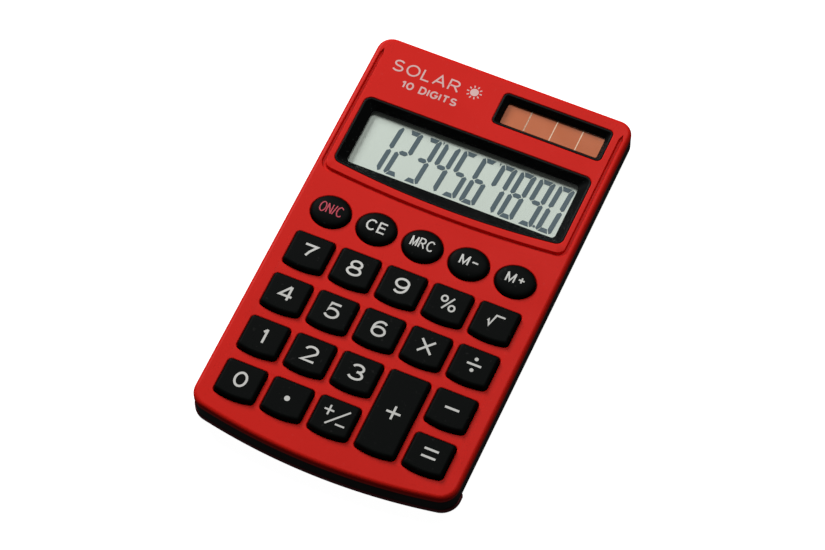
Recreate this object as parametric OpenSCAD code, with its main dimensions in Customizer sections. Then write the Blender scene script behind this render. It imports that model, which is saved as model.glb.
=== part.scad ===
// Pocket calculator: ten-digit display, solar strip and 24 sprung keys.
// It lies on its back. +X is right, +Y is towards the display, +Z is up.
// The origin is on the table, under the middle of the case.

/* [Case] */
// Width of the case
case_w = 70; // [69:0.5:72]
// Length of the case, from the top edge to the crown of the lower edge
case_l = 118; // [118:0.5:121]
// Height of the keypad face above the table
face_z = 8.2; // [8.2:0.1:8.6]
// Height where the red front meets the black rear
parting_z = 6.2; // [6:0.1:6.4]
// Corner radius at the display end
top_corner_r = 4; // [3:0.5:5]
// Corner radius at the keypad end
low_corner_r = 5; // [4:0.5:6]
// Radius of the curved lower edge
low_edge_r = 165; // [140:5:220]
// Rounding of the front's upper edge
edge_round = 1.2; // [0.6:0.1:1.4]
// Thickness of the front plate
plate_t = 1.4; // [1.2:0.1:1.5]
// Thickness of the side walls
wall_t = 1.5; // [1.2:0.1:1.6]

/* [Keys] */
// Distance between key columns
col_pitch = 12.5; // [12.3:0.1:12.7]
// Distance between key rows
row_pitch = 13; // [12.8:0.1:13.2]
// Width of a square key's opening
key_w = 11; // [10.6:0.1:11.2]
// Length of a square key's opening
key_l = 10.5; // [10:0.1:10.8]
// Radius of the curved lower edge of a key
key_edge_r = 20; // [12:1:24]
// Width of an oval key's opening
oval_w = 10.8; // [10.4:0.1:11]
// Length of an oval key's opening
oval_l = 9.3; // [9:0.1:9.6]
// Gap between a key and its opening
key_gap = 0.3; // [0.2:0.05:0.4]
// Height of the keys above the face
key_rise = 1.3; // [1:0.1:1.6]
// Travel of a key
key_travel = 0.9; // [0.6:0.1:0.9]

/* [Display] */
// Width of the display window in the front
window_w = 62.4; // [60:0.2:63]
// Width of the part of the display that shows
view_w = 56.8; // [55:0.2:58]
// Height of the part of the display that shows
view_h = 16.5; // [15.5:0.1:17]
// Depth of the display below the face
view_depth = 2.4; // [2.2:0.1:2.4]
// Height of a digit
digit_h = 13; // [12:0.1:14]
// Distance between digits
digit_pitch = 5.2; // [5:0.02:5.2]

/* [Solar strip] */
// Width of the solar window
solar_w = 29.9; // [29:0.1:31]
// Height of the solar window
solar_h = 9.7; // [9:0.1:10]
// Border between the solar window and the strip
solar_border = 1.7; // [1.4:0.1:2]

/* [Hidden] */

$fn = 48;
eps = 0.01;

case_red = [0.78, 0.08, 0.08];
case_black = [0.10, 0.10, 0.10];
foot_red = [0.25, 0.03, 0.05];
key_black = [0.07, 0.08, 0.08];
rubber_grey = [0.35, 0.35, 0.37];
steel = [0.75, 0.75, 0.77];
glass_clear = [0.80, 0.88, 0.88, 0.35];

// Levels above the table
rear_z = 1.2;
rear_plate_t = 1;
floor_z = rear_z + rear_plate_t;
board_z = floor_z + 0.2;
board_t = 1;
board_top = board_z + board_t;
plate_z = face_z - plate_t;
view_z = face_z - view_depth;

// Outline places along Y
case_top = case_l / 2;
case_low = -case_l / 2;
keypad_y = -7.7;
oval_row_y = keypad_y + row_pitch;

// Steps in the corners and edges of a computed outline
corner_steps = 6;
edge_steps = 12;
oval_steps = 32;

// Points of an arc round [x, y] with radius r, from angle a to angle b
function arc_points(x, y, r, a, b, steps) =
    [for (i = [0 : steps]) [x + r * cos(a + (b - a) * i / steps), y + r * sin(a + (b - a) * i / steps)]];

// Outline with straight sides and top and a lower edge that is an arc of radius edge_r.
// inset moves the whole outline inwards by the same amount everywhere.
function crowned_outline(w, top, low, top_r, low_r, edge_r, inset = 0, steps = corner_steps) =
    let (
        half = w / 2 - inset,
        up = top - inset,
        down = low + inset,
        rt = max(0.05, top_r - inset),
        rl = max(0.05, low_r - inset),
        re = edge_r - inset,
        hub = down + re,
        cx = half - rl,
        cy = hub - sqrt(pow(re - rl, 2) - pow(cx, 2)),
        lean = atan2(cx, hub - cy)
    )
    concat(
        arc_points(half - rt, up - rt, rt, 90, 0, steps),
        arc_points(cx, cy, rl, 0, lean - 90, steps),
        arc_points(0, hub, re, lean - 90 - lean / edge_steps, -90 - lean + lean / edge_steps, edge_steps),
        arc_points(-cx, cy, rl, -90 - lean, -180, steps),
        arc_points(rt - half, up - rt, rt, 180, 90, steps)
    );

function oval_points(w, l, inset = 0) =
    [for (i = [0 : oval_steps - 1])
        let (a = 360 * i / oval_steps)
        [(w / 2 - inset) * cos(a), (l / 2 - inset) * sin(a)]];

function col_x(c) = (c - 2) * col_pitch;
function row_y(r) = keypad_y - r * row_pitch;

// Columns and rows of the square keys; the tall key stands in column 3, rows 2 and 3
square_keys = [for (r = [0 : 3]) for (c = [0 : 4]) if (c != 3 || r < 2) [c, r]];

module prism(points, z0, z1) {
    translate([0, 0, z0])
        linear_extrude(z1 - z0)
            polygon(points);
}

module case_shape(z0, z1, inset = 0, w = case_w) {
    prism(crowned_outline(w, case_top, case_low, top_corner_r, low_corner_r, low_edge_r, inset), z0, z1);
}

// ---------- keys ----------

tall_key_l = key_l + row_pitch;
tall_key_y = row_y(2.5);
key_corner_r = 1.2;
flange_out = 0.5;
flange_t = 0.75;
flange_top = plate_z - 0.15;
flange_z = flange_top - flange_t;
key_top = face_z + key_rise;
bevel_h = 0.5;
bevel_w = 0.8;

function key_points(l, inset) =
    crowned_outline(key_w, l / 2, -l / 2, key_corner_r, key_corner_r, key_edge_r, inset, 4);

// A cap with a bevelled top and a flange that the front plate holds in
module square_cap(l) {
    prism(key_points(l, -flange_out), flange_z, flange_top);
    hull() {
        prism(key_points(l, key_gap), flange_top - eps, key_top - bevel_h);
        prism(key_points(l, key_gap + bevel_w), key_top - eps, key_top);
    }
}

module oval_cap() {
    prism(oval_points(oval_w, oval_l, -flange_out), flange_z, flange_top);
    hull() {
        prism(oval_points(oval_w, oval_l, key_gap), flange_top - eps, key_top - bevel_h);
        prism(oval_points(oval_w, oval_l, key_gap + bevel_w), key_top - eps, key_top);
    }
}

module square_key(c, r) {
    translate([col_x(c), row_y(r), 0])
        square_cap(key_l);
}

module oval_key(c) {
    translate([col_x(c), oval_row_y, 0])
        oval_cap();
}

module tall_key() {
    translate([col_x(3), tall_key_y, 0])
        square_cap(tall_key_l);
}

module key_on_clear() { color(key_black) oval_key(0); }
module key_ce() { color(key_black) oval_key(1); }
module key_mrc() { color(key_black) oval_key(2); }
module key_m_minus() { color(key_black) oval_key(3); }
module key_m_plus() { color(key_black) oval_key(4); }
module key_7() { color(key_black) square_key(0, 0); }
module key_8() { color(key_black) square_key(1, 0); }
module key_9() { color(key_black) square_key(2, 0); }
module key_percent() { color(key_black) square_key(3, 0); }
module key_root() { color(key_black) square_key(4, 0); }
module key_4() { color(key_black) square_key(0, 1); }
module key_5() { color(key_black) square_key(1, 1); }
module key_6() { color(key_black) square_key(2, 1); }
module key_multiply() { color(key_black) square_key(3, 1); }
module key_divide() { color(key_black) square_key(4, 1); }
module key_1() { color(key_black) square_key(0, 2); }
module key_2() { color(key_black) square_key(1, 2); }
module key_3() { color(key_black) square_key(2, 2); }
module key_plus() { color(key_black) tall_key(); }
module key_minus() { color(key_black) square_key(4, 2); }
module key_0() { color(key_black) square_key(0, 3); }
module key_point() { color(key_black) square_key(1, 3); }
module key_sign() { color(key_black) square_key(2, 3); }
module key_equals() { color(key_black) square_key(4, 3); }

module key_openings() {
    for (k = square_keys)
        translate([col_x(k[0]), row_y(k[1]), 0])
            prism(key_points(key_l, 0), plate_z - 1, face_z + 1);
    for (c = [0 : 4])
        translate([col_x(c), oval_row_y, 0])
            prism(oval_points(oval_w, oval_l), plate_z - 1, face_z + 1);
    translate([col_x(3), tall_key_y, 0])
        prism(key_points(tall_key_l, 0), plate_z - 1, face_z + 1);
}

// ---------- windows ----------

window_top = 40.2;
window_low = 17.4;
window_corner_r = 2;
window_edge_r = 230;
view_y = 29.7;
view_corner_r = 1;
bezel_lip = 0.45;
bezel_flange = 1.1;
bezel_flange_t = 0.7;
lens_t = 0.4;
lens_z = view_z + 0.05;

solar_x = 15.75;
solar_y = 50.2;
solar_corner_r = 1.3;
solar_depth = 2.2;
solar_z = face_z - solar_depth;

function window_points(inset) =
    crowned_outline(
        window_w, window_top, window_low, window_corner_r, window_corner_r, window_edge_r, inset
    );

function box_points(w, h, r, inset = 0) =
    let (x = w / 2 - r, y = h / 2 - r, q = r - inset)
    concat(
        arc_points(x, y, q, 90, 0, 4),
        arc_points(x, -y, q, 0, -90, 4),
        arc_points(-x, -y, q, -90, -180, 4),
        arc_points(-x, y, q, 180, 90, 4)
    );

// A frame whose inner walls slope from the window down to the display
module display_bezel() {
    color(case_black)
        difference() {
            union() {
                prism(window_points(0.03), lens_z, face_z - 0.1);
                prism(window_points(-bezel_flange), plate_z - bezel_flange_t, plate_z);
            }
            hull() {
                prism(window_points(bezel_lip), face_z - 0.1, face_z + 1);
                translate([0, view_y, 0])
                    prism(box_points(view_w, view_h, view_corner_r), lens_z + lens_t, face_z - 0.5);
            }
            translate([0, view_y, 0])
                prism(box_points(view_w, view_h, view_corner_r), lens_z + lens_t - eps, face_z);
            translate([0, view_y, 0])
                prism(box_points(view_w + 1.2, view_h + 1.2, view_corner_r), lens_z - 1, lens_z + lens_t);
        }
}

module display_lens() {
    color(glass_clear)
        translate([0, view_y, 0])
            prism(box_points(view_w + 1.1, view_h + 1.1, view_corner_r), lens_z, lens_z + lens_t - 0.02);
}

module solar_bezel() {
    color(case_black)
        translate([solar_x, solar_y, 0])
            difference() {
                union() {
                    prism(box_points(solar_w - 0.06, solar_h - 0.06, solar_corner_r), solar_z, face_z - 0.1);
                    prism(
                        box_points(solar_w + 1.4, solar_h + 1.4, solar_corner_r),
                        plate_z - bezel_flange_t,
                        plate_z
                    );
                }
                hull() {
                    prism(box_points(solar_w - 0.7, solar_h - 0.7, 1), face_z - 0.1, face_z + 1);
                    prism(solar_view_points(), solar_z + lens_t, face_z - 0.5);
                }
                prism(solar_view_points(), solar_z + lens_t - eps, face_z);
                prism(
                    box_points(solar_w - 2 * solar_border + 1, solar_h - 2 * solar_border + 1, 0.5),
                    solar_z - 1,
                    solar_z + lens_t
                );
            }
}

function solar_view_points() = box_points(solar_w - 2 * solar_border, solar_h - 2 * solar_border, 0.5);

module solar_lens() {
    color(glass_clear)
        translate([solar_x, solar_y, 0])
            prism(
                box_points(solar_w - 2 * solar_border + 0.9, solar_h - 2 * solar_border + 0.9, 0.5),
                solar_z,
                solar_z + lens_t - 0.02
            );
}

// Glass strip with four cells side by side
module solar_cell() {
    cell_t = 1.1;
    color([0.72, 0.42, 0.28])
        translate([solar_x - solar_w / 2 + 0.8, solar_y - solar_h / 2 + 0.8, solar_z - cell_t - 0.02])
            cube([solar_w - 1.6, solar_h - 1.6, cell_t]);
}

// ---------- case ----------

// Screw places: two through the foot bar, two amid the keypad, two beside the display
low_screws = [[-18.75, -54.6], [18.75, -54.6]];
high_screws = [[-18.75, -0.3], [18.75, -0.3], [-30.9, 42.95], [30.9, 42.95]];
case_screw_places = concat(low_screws, high_screws);
screw_r = 0.8;
screw_head_r = 1.5;
head_hole_r = 1.7;
post_r = 1.6;
post_low = 5;
boss_r = 2.1;
screw_seat = 3;
head_t = 1;

// Panel line: a shallow groove down both sides and under the display
panel_w = 67.1;
panel_low = 14.4;
panel_corner_r = 3;
panel_edge_r = 300;
groove_w = 1;
groove_depth = 0.8;
groove_top = case_top - 4;

function panel_points(inset) =
    crowned_outline(panel_w, groove_top + 10, panel_low, 1, panel_corner_r, panel_edge_r, inset);

module panel_groove() {
    intersection() {
        difference() {
            prism(panel_points(0), face_z - groove_depth, face_z + 1);
            prism(panel_points(groove_w), face_z - groove_depth - 1, face_z + 2);
        }
        translate([-case_w, 0, 0])
            cube([2 * case_w, groove_top, 3 * face_z]);
    }
}

lip_out = wall_t + 0.1;
lip_t = 0.7;
lip_low = 5;

module front_shell() {
    difference() {
        union() {
            hull() {
                case_shape(parting_z, face_z - edge_round);
                case_shape(face_z - 0.4 * edge_round - eps, face_z - 0.4 * edge_round, 0.25 * edge_round);
                case_shape(face_z - eps, face_z, edge_round);
            }
            case_shape(lip_low, parting_z + eps, lip_out);
        }
        case_shape(lip_low - 1, plate_z, lip_out + lip_t);
        key_openings();
        prism(window_points(0), plate_z - 1, face_z + 1);
        translate([solar_x, solar_y, 0])
            prism(box_points(solar_w, solar_h, solar_corner_r), plate_z - 1, face_z + 1);
        panel_groove();
    }
}

// The front, with a post for each case screw
module front_cover() {
    color(case_red)
        difference() {
            union() {
                front_shell();
                for (p = case_screw_places)
                    translate([p[0], p[1], post_low])
                        cylinder(r = post_r, h = plate_z + eps - post_low);
            }
            for (p = case_screw_places)
                translate([p[0], p[1], post_low - 1])
                    cylinder(r = screw_r + 0.01, h = plate_z - post_low);
        }
}

// Hatch for the button cell, in the underside
hatch_x = -12;
hatch_w = 18;
hatch_low = 39.3;
hatch_top = 56.4;
cell_y = 49.4;
door_screw_y = 41.7;
// Ring that holds the cell, tied to the floor beside the hatch
well_r = 7.2;
well_bore_r = 6;
well_h = 3.2;
door_boss_r = 1.8;

// Rebate under the keypad end that takes the foot bar
bar_top = 2;
bar_y = -49.6;
bar_gap = 0.03;
label_w = 34;
label_h = 16;
label_y = -22;
foot_x = 27;
foot_y = 51;
foot_r = 3.5;

module foot_region(z0, z1) {
    translate([-case_w, case_low - 5, z0])
        cube([2 * case_w, bar_y - case_low + 5, z1 - z0]);
}

module rear_cover() {
    color(case_black)
        difference() {
            union() {
                difference() {
                    case_shape(rear_z, parting_z);
                    case_shape(floor_z, parting_z + 1, wall_t);
                }
                intersection() {
                    case_shape(rear_z, bar_top + rear_plate_t);
                    foot_region(rear_z, bar_top + rear_plate_t);
                }
                for (p = case_screw_places)
                    translate([p[0], p[1], rear_z])
                        cylinder(r = boss_r, h = post_low - rear_z - 0.02);
                translate([hatch_x, cell_y, rear_z])
                    cylinder(r = well_r, h = well_h);
                translate([hatch_x - hatch_w / 2 - 1, cell_y - 1, rear_z])
                    cube([3.4, 2, well_h]);
                translate([hatch_x, door_screw_y, rear_z])
                    cylinder(r = door_boss_r, h = well_h);
            }
            foot_region(-1, bar_top);
            for (p = case_screw_places)
                translate([p[0], p[1], -1])
                    cylinder(r = screw_r + 0.1, h = 10);
            for (p = high_screws)
                translate([p[0], p[1], -1])
                    cylinder(r = head_hole_r, h = screw_seat + 1);
            translate([hatch_x, cell_y, -1])
                cylinder(r = well_bore_r, h = 10);
            translate([hatch_x - hatch_w / 2, hatch_low, -1])
                cube([hatch_w, hatch_top - hatch_low, floor_z + 1]);
            translate([hatch_x, door_screw_y, -1])
                cylinder(r = screw_r + 0.01, h = 5);
            translate([-label_w / 2, label_y - label_h / 2, rear_z - 1])
                cube([label_w, label_h, 1.2]);
            for (x = [-foot_x, foot_x])
                translate([x, foot_y, rear_z - 1])
                    cylinder(r = foot_r + 0.05, h = 1.4);
        }
}

// Dark red bar across the lower end of the underside
module foot_bar() {
    color(foot_red)
        difference() {
            intersection() {
                case_shape(0, bar_top - bar_gap, 0, case_w + 0.4);
                foot_region(-1, bar_top);
            }
            for (p = low_screws)
                translate([p[0], p[1], -1])
                    cylinder(r = screw_r + 0.1, h = 5);
            for (p = low_screws)
                translate([p[0], p[1], -1])
                    cylinder(r = head_hole_r, h = 1 + bar_top - 0.8);
        }
}

module rubber_feet() {
    color(rubber_grey)
        for (x = [-foot_x, foot_x])
            translate([x, foot_y, 0])
                cylinder(r = foot_r, h = rear_z + 0.38);
}

// One self-tapping screw, head down, with its head's upper face at z
module case_screw(z) {
    slot_w = 0.5;
    difference() {
        translate([0, 0, z - head_t])
            cylinder(r = screw_head_r, h = head_t);
        for (a = [0, 90])
            rotate(a)
                translate([-1, -slot_w / 2, z - head_t - 1])
                    cube([2, slot_w, 1.5]);
    }
    translate([0, 0, z - eps])
        cylinder(r = screw_r, h = plate_z - 1.1 - z);
}

module case_screws() {
    color(steel) {
        for (p = low_screws)
            translate([p[0], p[1], 0])
                case_screw(bar_top - 0.8 - bar_gap);
        for (p = high_screws)
            translate([p[0], p[1], 0])
                case_screw(screw_seat - bar_gap);
    }
}

module battery_door() {
    color(case_black)
        difference() {
            translate([hatch_x - hatch_w / 2 + 0.15, hatch_low + 0.15, rear_z])
                cube([hatch_w - 0.3, hatch_top - hatch_low - 0.3, rear_plate_t - 0.05]);
            translate([hatch_x, door_screw_y, 0])
                cylinder(r = screw_r + 0.1, h = 5);
            translate([hatch_x, door_screw_y, 0])
                cylinder(r = head_hole_r, h = rear_z + 0.55);
            for (i = [0 : 3])
                translate([hatch_x - 4, 51.5 + i * 0.9, rear_z - 1])
                    cube([8, 0.4, 1.3]);
        }
}

module door_screw() {
    color(steel)
        translate([hatch_x, door_screw_y, 0]) {
            difference() {
                translate([0, 0, rear_z + 0.05])
                    cylinder(r = screw_head_r, h = 0.48);
                for (a = [0, 90])
                    rotate(a)
                        translate([-1, -0.25, rear_z - 0.7])
                            cube([2, 0.5, 1]);
            }
            translate([0, 0, rear_z + 0.5])
                cylinder(r = screw_r, h = 2.2);
        }
}

module rear_label() {
    color([0.80, 0.80, 0.80])
        translate([0.1 - label_w / 2, label_y + 0.1 - label_h / 2, rear_z])
            cube([label_w - 0.2, label_h - 0.2, 0.18]);
}

// ---------- display glass ----------

glass_w = 60;
glass_low = 20.3;
glass_top = 39.6;
front_glass_t = 0.8;
segment_t = 0.06;
rear_glass_t = 0.65;
reflector_t = 0.15;
segment_z = view_z - front_glass_t - segment_t;
rear_glass_z = segment_z - rear_glass_t;

module glass_plate(low, top, z, t) {
    translate([-glass_w / 2, low, z])
        cube([glass_w, top - low, t]);
}

module lcd_front_glass() {
    color(glass_clear)
        glass_plate(glass_low, glass_top, view_z - front_glass_t, front_glass_t);
}

module lcd_rear_glass() {
    color(glass_clear)
        glass_plate(glass_low - 1, glass_top, rear_glass_z, rear_glass_t - 0.005);
}

module lcd_reflector() {
    color([0.72, 0.75, 0.68])
        glass_plate(glass_low, glass_top, rear_glass_z - reflector_t, reflector_t - 0.01);
}

// Seven-segment digits, segment order: top, upper left, upper right, middle, lower left, lower right, low
digit_w = 3;
bar_t = 1.25;
slant = tan(3.9);
digit_low = 23.3;
first_digit_x = -21.6;
shown = [
    [0, 0, 1, 0, 0, 1, 0],
    [1, 0, 1, 1, 1, 0, 1],
    [1, 0, 1, 1, 0, 1, 1],
    [0, 1, 1, 1, 0, 1, 0],
    [1, 1, 0, 1, 0, 1, 1],
    [1, 1, 0, 1, 1, 1, 1],
    [1, 1, 1, 0, 0, 1, 0],
    [1, 1, 1, 1, 1, 1, 1],
    [1, 1, 1, 1, 0, 1, 1],
    [1, 1, 1, 0, 1, 1, 1]
];
// Half of the gap between two bars of a digit
segment_gap = 0.1;
// The decimal point stands between the ninth and the tenth digit
point_x = first_digit_x + 8.5 * digit_pitch - slant * digit_h / 2;

// Points of one bar of a digit, before the slant: the ends are cut along lines that meet at the corners
function bar_points(i) =
    let (h = digit_h / 2, w = digit_w / 2, o = bar_t / 2, g = segment_gap)
    (i == 0 || i == 6) ?
        let (s = i == 0 ? 1 : -1)
        [[g + 0.1 - w, s * (h + o)], [w - 0.1 - g, s * (h + o)],
         [w - o - g - 0.05, s * (h - o)], [g + o + 0.05 - w, s * (h - o)]] :
    i == 3 ?
        [[g - w + 0.2, 0], [g + o - w + 0.1, o], [w - o - g - 0.1, o],
         [w - 0.2 - g, 0], [w - o - g - 0.1, -o], [g + o - w + 0.1, -o]] :
    let (sx = (i == 1 || i == 4) ? -1 : 1, sy = i < 3 ? 1 : -1)
    [[sx * (w - o), sy * (h - o)], [sx * (w + g), sy * (h + o - g)], [sx * (w + o), sy * (h + g)],
     [sx * (w + o), sy * (g + 0.45)], [sx * (w + 0.1), sy * g], [sx * (w - o), sy * (o + g)]];

function slanted(points) = [for (p = points) [p[0] + slant * p[1], p[1]]];

module lcd_segments() {
    color([0.33, 0.41, 0.45])
        translate([0, digit_low + digit_h / 2, 0]) {
            for (d = [0 : 9])
                for (i = [0 : 6])
                    if (shown[d][i] == 1)
                        translate([first_digit_x + d * digit_pitch, 0, 0])
                            prism(slanted(bar_points(i)), segment_z, segment_z + segment_t - 0.005);
            for (d = [2, 5])
                translate([first_digit_x + (d + 0.5) * digit_pitch + slant * digit_h / 2, 0, 0])
                    prism(
                        [[-0.25, digit_h / 2 + 0.6], [0.25, digit_h / 2 + 0.6], [-0.05, digit_h / 2 - 0.3]],
                        segment_z,
                        segment_z + segment_t - 0.005
                    );
            translate([point_x, 0.1 - digit_h / 2, segment_z])
                cylinder(r = 0.35, h = segment_t - 0.005);
        }
}

module lcd_pad() {
    color([0.25, 0.25, 0.27])
        translate([-glass_w / 2, glass_low + 1.4, board_top])
            cube([glass_w, glass_top - glass_low - 1.6, rear_glass_z - reflector_t - board_top - 0.01]);
}

module zebra_strip() {
    color([0.55, 0.35, 0.50])
        translate([-27, glass_low - 0.9, board_top])
            cube([54, 0.8, rear_glass_z - board_top - 0.01]);
}

// ---------- electronics ----------

board_w = 64;
board_low = -49.3;
board_high = 41.2;
mat_w = 63;
mat_low = -52.4;
mat_high = 10.8;
mat_t = 0.5;
dome_r = 3.4;
dome_top_r = 2.4;
dome_top = flange_z - key_travel - 0.1;

// Centres of the domes under the keys; the tall key has two
dome_places = concat(
    [for (k = square_keys) [col_x(k[0]), row_y(k[1])]],
    [for (c = [0 : 4]) [col_x(c), oval_row_y]],
    [for (r = [2, 3]) [col_x(3), row_y(r)]]
);

module circuit_board() {
    color([0.10, 0.38, 0.20])
        difference() {
            translate([-board_w / 2, board_low, board_z])
                cube([board_w, board_high - board_low, board_t]);
            for (p = high_screws)
                translate([p[0], p[1], board_z - 1])
                    cylinder(r = boss_r + 0.2, h = board_t + 2);
            translate([hatch_x, door_screw_y, board_z - 1])
                cylinder(r = 2.1, h = board_t + 2);
        }
}

module chip_blob() {
    color([0.05, 0.05, 0.05])
        translate([0, 14.8, board_top])
            intersection() {
                translate([0, 0, -2.6])
                    sphere(r = 3.8);
                cylinder(r = 3, h = 2);
            }
}

module board_parts() {
    color([0.60, 0.45, 0.25])
        for (x = [-14, -10, 9, 13, 17])
            translate([x - 0.8, 14, board_top])
                cube([1.6, 0.8, 0.6]);
}

module contact_pads() {
    color([0.15, 0.15, 0.15])
        for (p = dome_places)
            translate([p[0], p[1], board_top])
                cylinder(r = 2, h = 0.05);
}

// One rubber sheet; each dome is hollow and drawn at its pressed height
module rubber_mat() {
    color(rubber_grey)
        difference() {
            union() {
                translate([-mat_w / 2, mat_low, board_top])
                    cube([mat_w, mat_high - mat_low, mat_t]);
                for (p = dome_places)
                    translate([p[0], p[1], board_top + mat_t - eps])
                        cylinder(r1 = dome_r, r2 = dome_top_r, h = dome_top - board_top - mat_t + eps);
            }
            for (p = dome_places)
                translate([p[0], p[1], board_top - 1])
                    cylinder(r = 2.1, h = 1.6);
            for (p = high_screws)
                translate([p[0], p[1], board_top - 1])
                    cylinder(r = boss_r + 0.2, h = 3);
        }
}

cell_r = 5.8;
cell_h = 3.05;
cell_z = floor_z + 0.05;

module battery_cell() {
    color(steel)
        translate([hatch_x, cell_y, cell_z]) {
            cylinder(r = cell_r, h = cell_h - 0.4);
            translate([0, 0, cell_h - 0.4 - eps])
                cylinder(r = cell_r - 0.8, h = 0.4);
        }
}

module battery_top_contact() {
    color([0.80, 0.70, 0.40]) {
        translate([hatch_x - 4.5, board_high - 1, cell_z + cell_h + 0.02])
            cube([2, cell_y - board_high + 3, 0.2]);
        translate([hatch_x - 4.5, board_high - 1, board_top + 0.01])
            cube([2, 0.2, cell_z + cell_h - board_top + 0.1]);
    }
}

module battery_side_contact() {
    color([0.80, 0.70, 0.40])
        translate([hatch_x + 7.3, cell_y - 2, floor_z + 0.02])
            cube([0.2, 4, 2.6]);
}

lead_t = 0.5;

// A lead that bends only in the upright plane at x; route holds its [y, z] points
module lead(x, route) {
    last = len(route) - 1;
    translate([x - lead_t / 2, 0, 0])
        rotate([90, 0, 90])
            linear_extrude(lead_t)
                polygon(concat(
                    [for (p = route) [p[0], p[1] + lead_t / 2]],
                    [for (i = [0 : last]) [route[last - i][0], route[last - i][1] - lead_t / 2]]
                ));
}

module solar_leads() {
    color([0.70, 0.10, 0.10])
        for (x = [5, 8])
            lead(x, [[48, solar_z - 1.5], [43.5, 4.2], [42, 3.2], [board_high + 0.05, 2.9]]);
}

module battery_leads() {
    color([0.05, 0.05, 0.05])
        lead(hatch_x + 7.8, [[cell_y, 4], [45, 4], [42, 3.2], [board_high + 0.05, 2.9]]);
}

front_cover();
rear_cover();
foot_bar();
rubber_feet();
case_screws();
display_bezel();
display_lens();
lcd_front_glass();
lcd_segments();
lcd_rear_glass();
lcd_reflector();
lcd_pad();
zebra_strip();
solar_bezel();
solar_lens();
solar_cell();
solar_leads();
circuit_board();
chip_blob();
board_parts();
contact_pads();
rubber_mat();
battery_cell();
battery_top_contact();
battery_side_contact();
battery_leads();
battery_door();
door_screw();
rear_label();
key_on_clear();
key_ce();
key_mrc();
key_m_minus();
key_m_plus();
key_7();
key_8();
key_9();
key_percent();
key_root();
key_4();
key_5();
key_6();
key_multiply();
key_divide();
key_1();
key_2();
key_3();
key_plus();
key_minus();
key_0();
key_point();
key_sign();
key_equals();
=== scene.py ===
"""Pocket calculator with a moulded red front, a black tray and 24 sprung keys.

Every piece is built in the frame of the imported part. Sizes in the classes are in millimetres.
"""
import logging
import math
from dataclasses import dataclass, field
from enum import Enum
from typing import Callable, Sequence

import bmesh
import bpy
import numpy as np
from mathutils import Matrix, Vector, geometry


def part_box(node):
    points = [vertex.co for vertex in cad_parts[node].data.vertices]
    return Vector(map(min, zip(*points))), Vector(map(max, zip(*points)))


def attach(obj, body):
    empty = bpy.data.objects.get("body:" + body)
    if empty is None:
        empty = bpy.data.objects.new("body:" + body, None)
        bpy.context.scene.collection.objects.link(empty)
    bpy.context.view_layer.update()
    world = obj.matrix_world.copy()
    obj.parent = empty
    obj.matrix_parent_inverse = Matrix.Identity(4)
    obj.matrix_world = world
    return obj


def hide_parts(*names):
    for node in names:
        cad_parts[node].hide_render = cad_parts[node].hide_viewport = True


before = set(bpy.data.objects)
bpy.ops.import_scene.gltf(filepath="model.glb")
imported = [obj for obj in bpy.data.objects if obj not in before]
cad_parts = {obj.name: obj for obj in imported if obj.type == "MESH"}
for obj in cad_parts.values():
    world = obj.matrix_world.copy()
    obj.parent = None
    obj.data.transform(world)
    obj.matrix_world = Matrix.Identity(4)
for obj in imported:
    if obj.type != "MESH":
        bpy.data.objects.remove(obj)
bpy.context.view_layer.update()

LOG = logging.getLogger("calculator")
MM = 0.001
HOUSING = "housing"

Point = tuple[float, float]
Ring = list[bmesh.types.BMVert]
Colour = tuple[float, float, float]

# Corner radii and radius of the lower edge, shared by the front, the tray and the foot bar
TOP_R, LOW_R, EDGE_R = 4, 5, 165
# Places of the case screws, of the battery door's screw and of the button cell
LOW_SCREWS: tuple[Point, ...] = ((-18.75, -54.6), (18.75, -54.6))
HIGH_SCREWS: tuple[Point, ...] = ((-18.75, -0.3), (18.75, -0.3), (-30.9, 42.95), (30.9, 42.95))
DOOR_SCREW: Point = (-12.0, 41.7)
CELL_PLACE: Point = (-12.0, 49.4)
# Radii of the holes for a screw's head and for its shank
HEAD_HOLE_R = 1.7
SHANK_HOLE_R = 0.9


# ---------- outlines ----------


def arc(x: float, y: float, rx: float, ry: float, a: float, b: float, steps: int) -> list[Point]:
    """Points of an elliptical arc.

    Args:
        x: centre along X.
        y: centre along Y.
        rx: radius along X.
        ry: radius along Y.
        a: first angle in degrees.
        b: last angle in degrees.
        steps: number of chords.

    Returns:
        The steps + 1 points from a to b.
    """
    angles = (math.radians(a + (b - a) * i / steps) for i in range(steps + 1))
    return [(x + rx * math.cos(t), y + ry * math.sin(t)) for t in angles]


def circle(x: float, y: float, r: float, steps: int = 40) -> list[Point]:
    """A closed circle round (x, y), without its first point repeated."""
    return arc(x, y, r, r, 0, 360, steps)[:-1]


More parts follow.
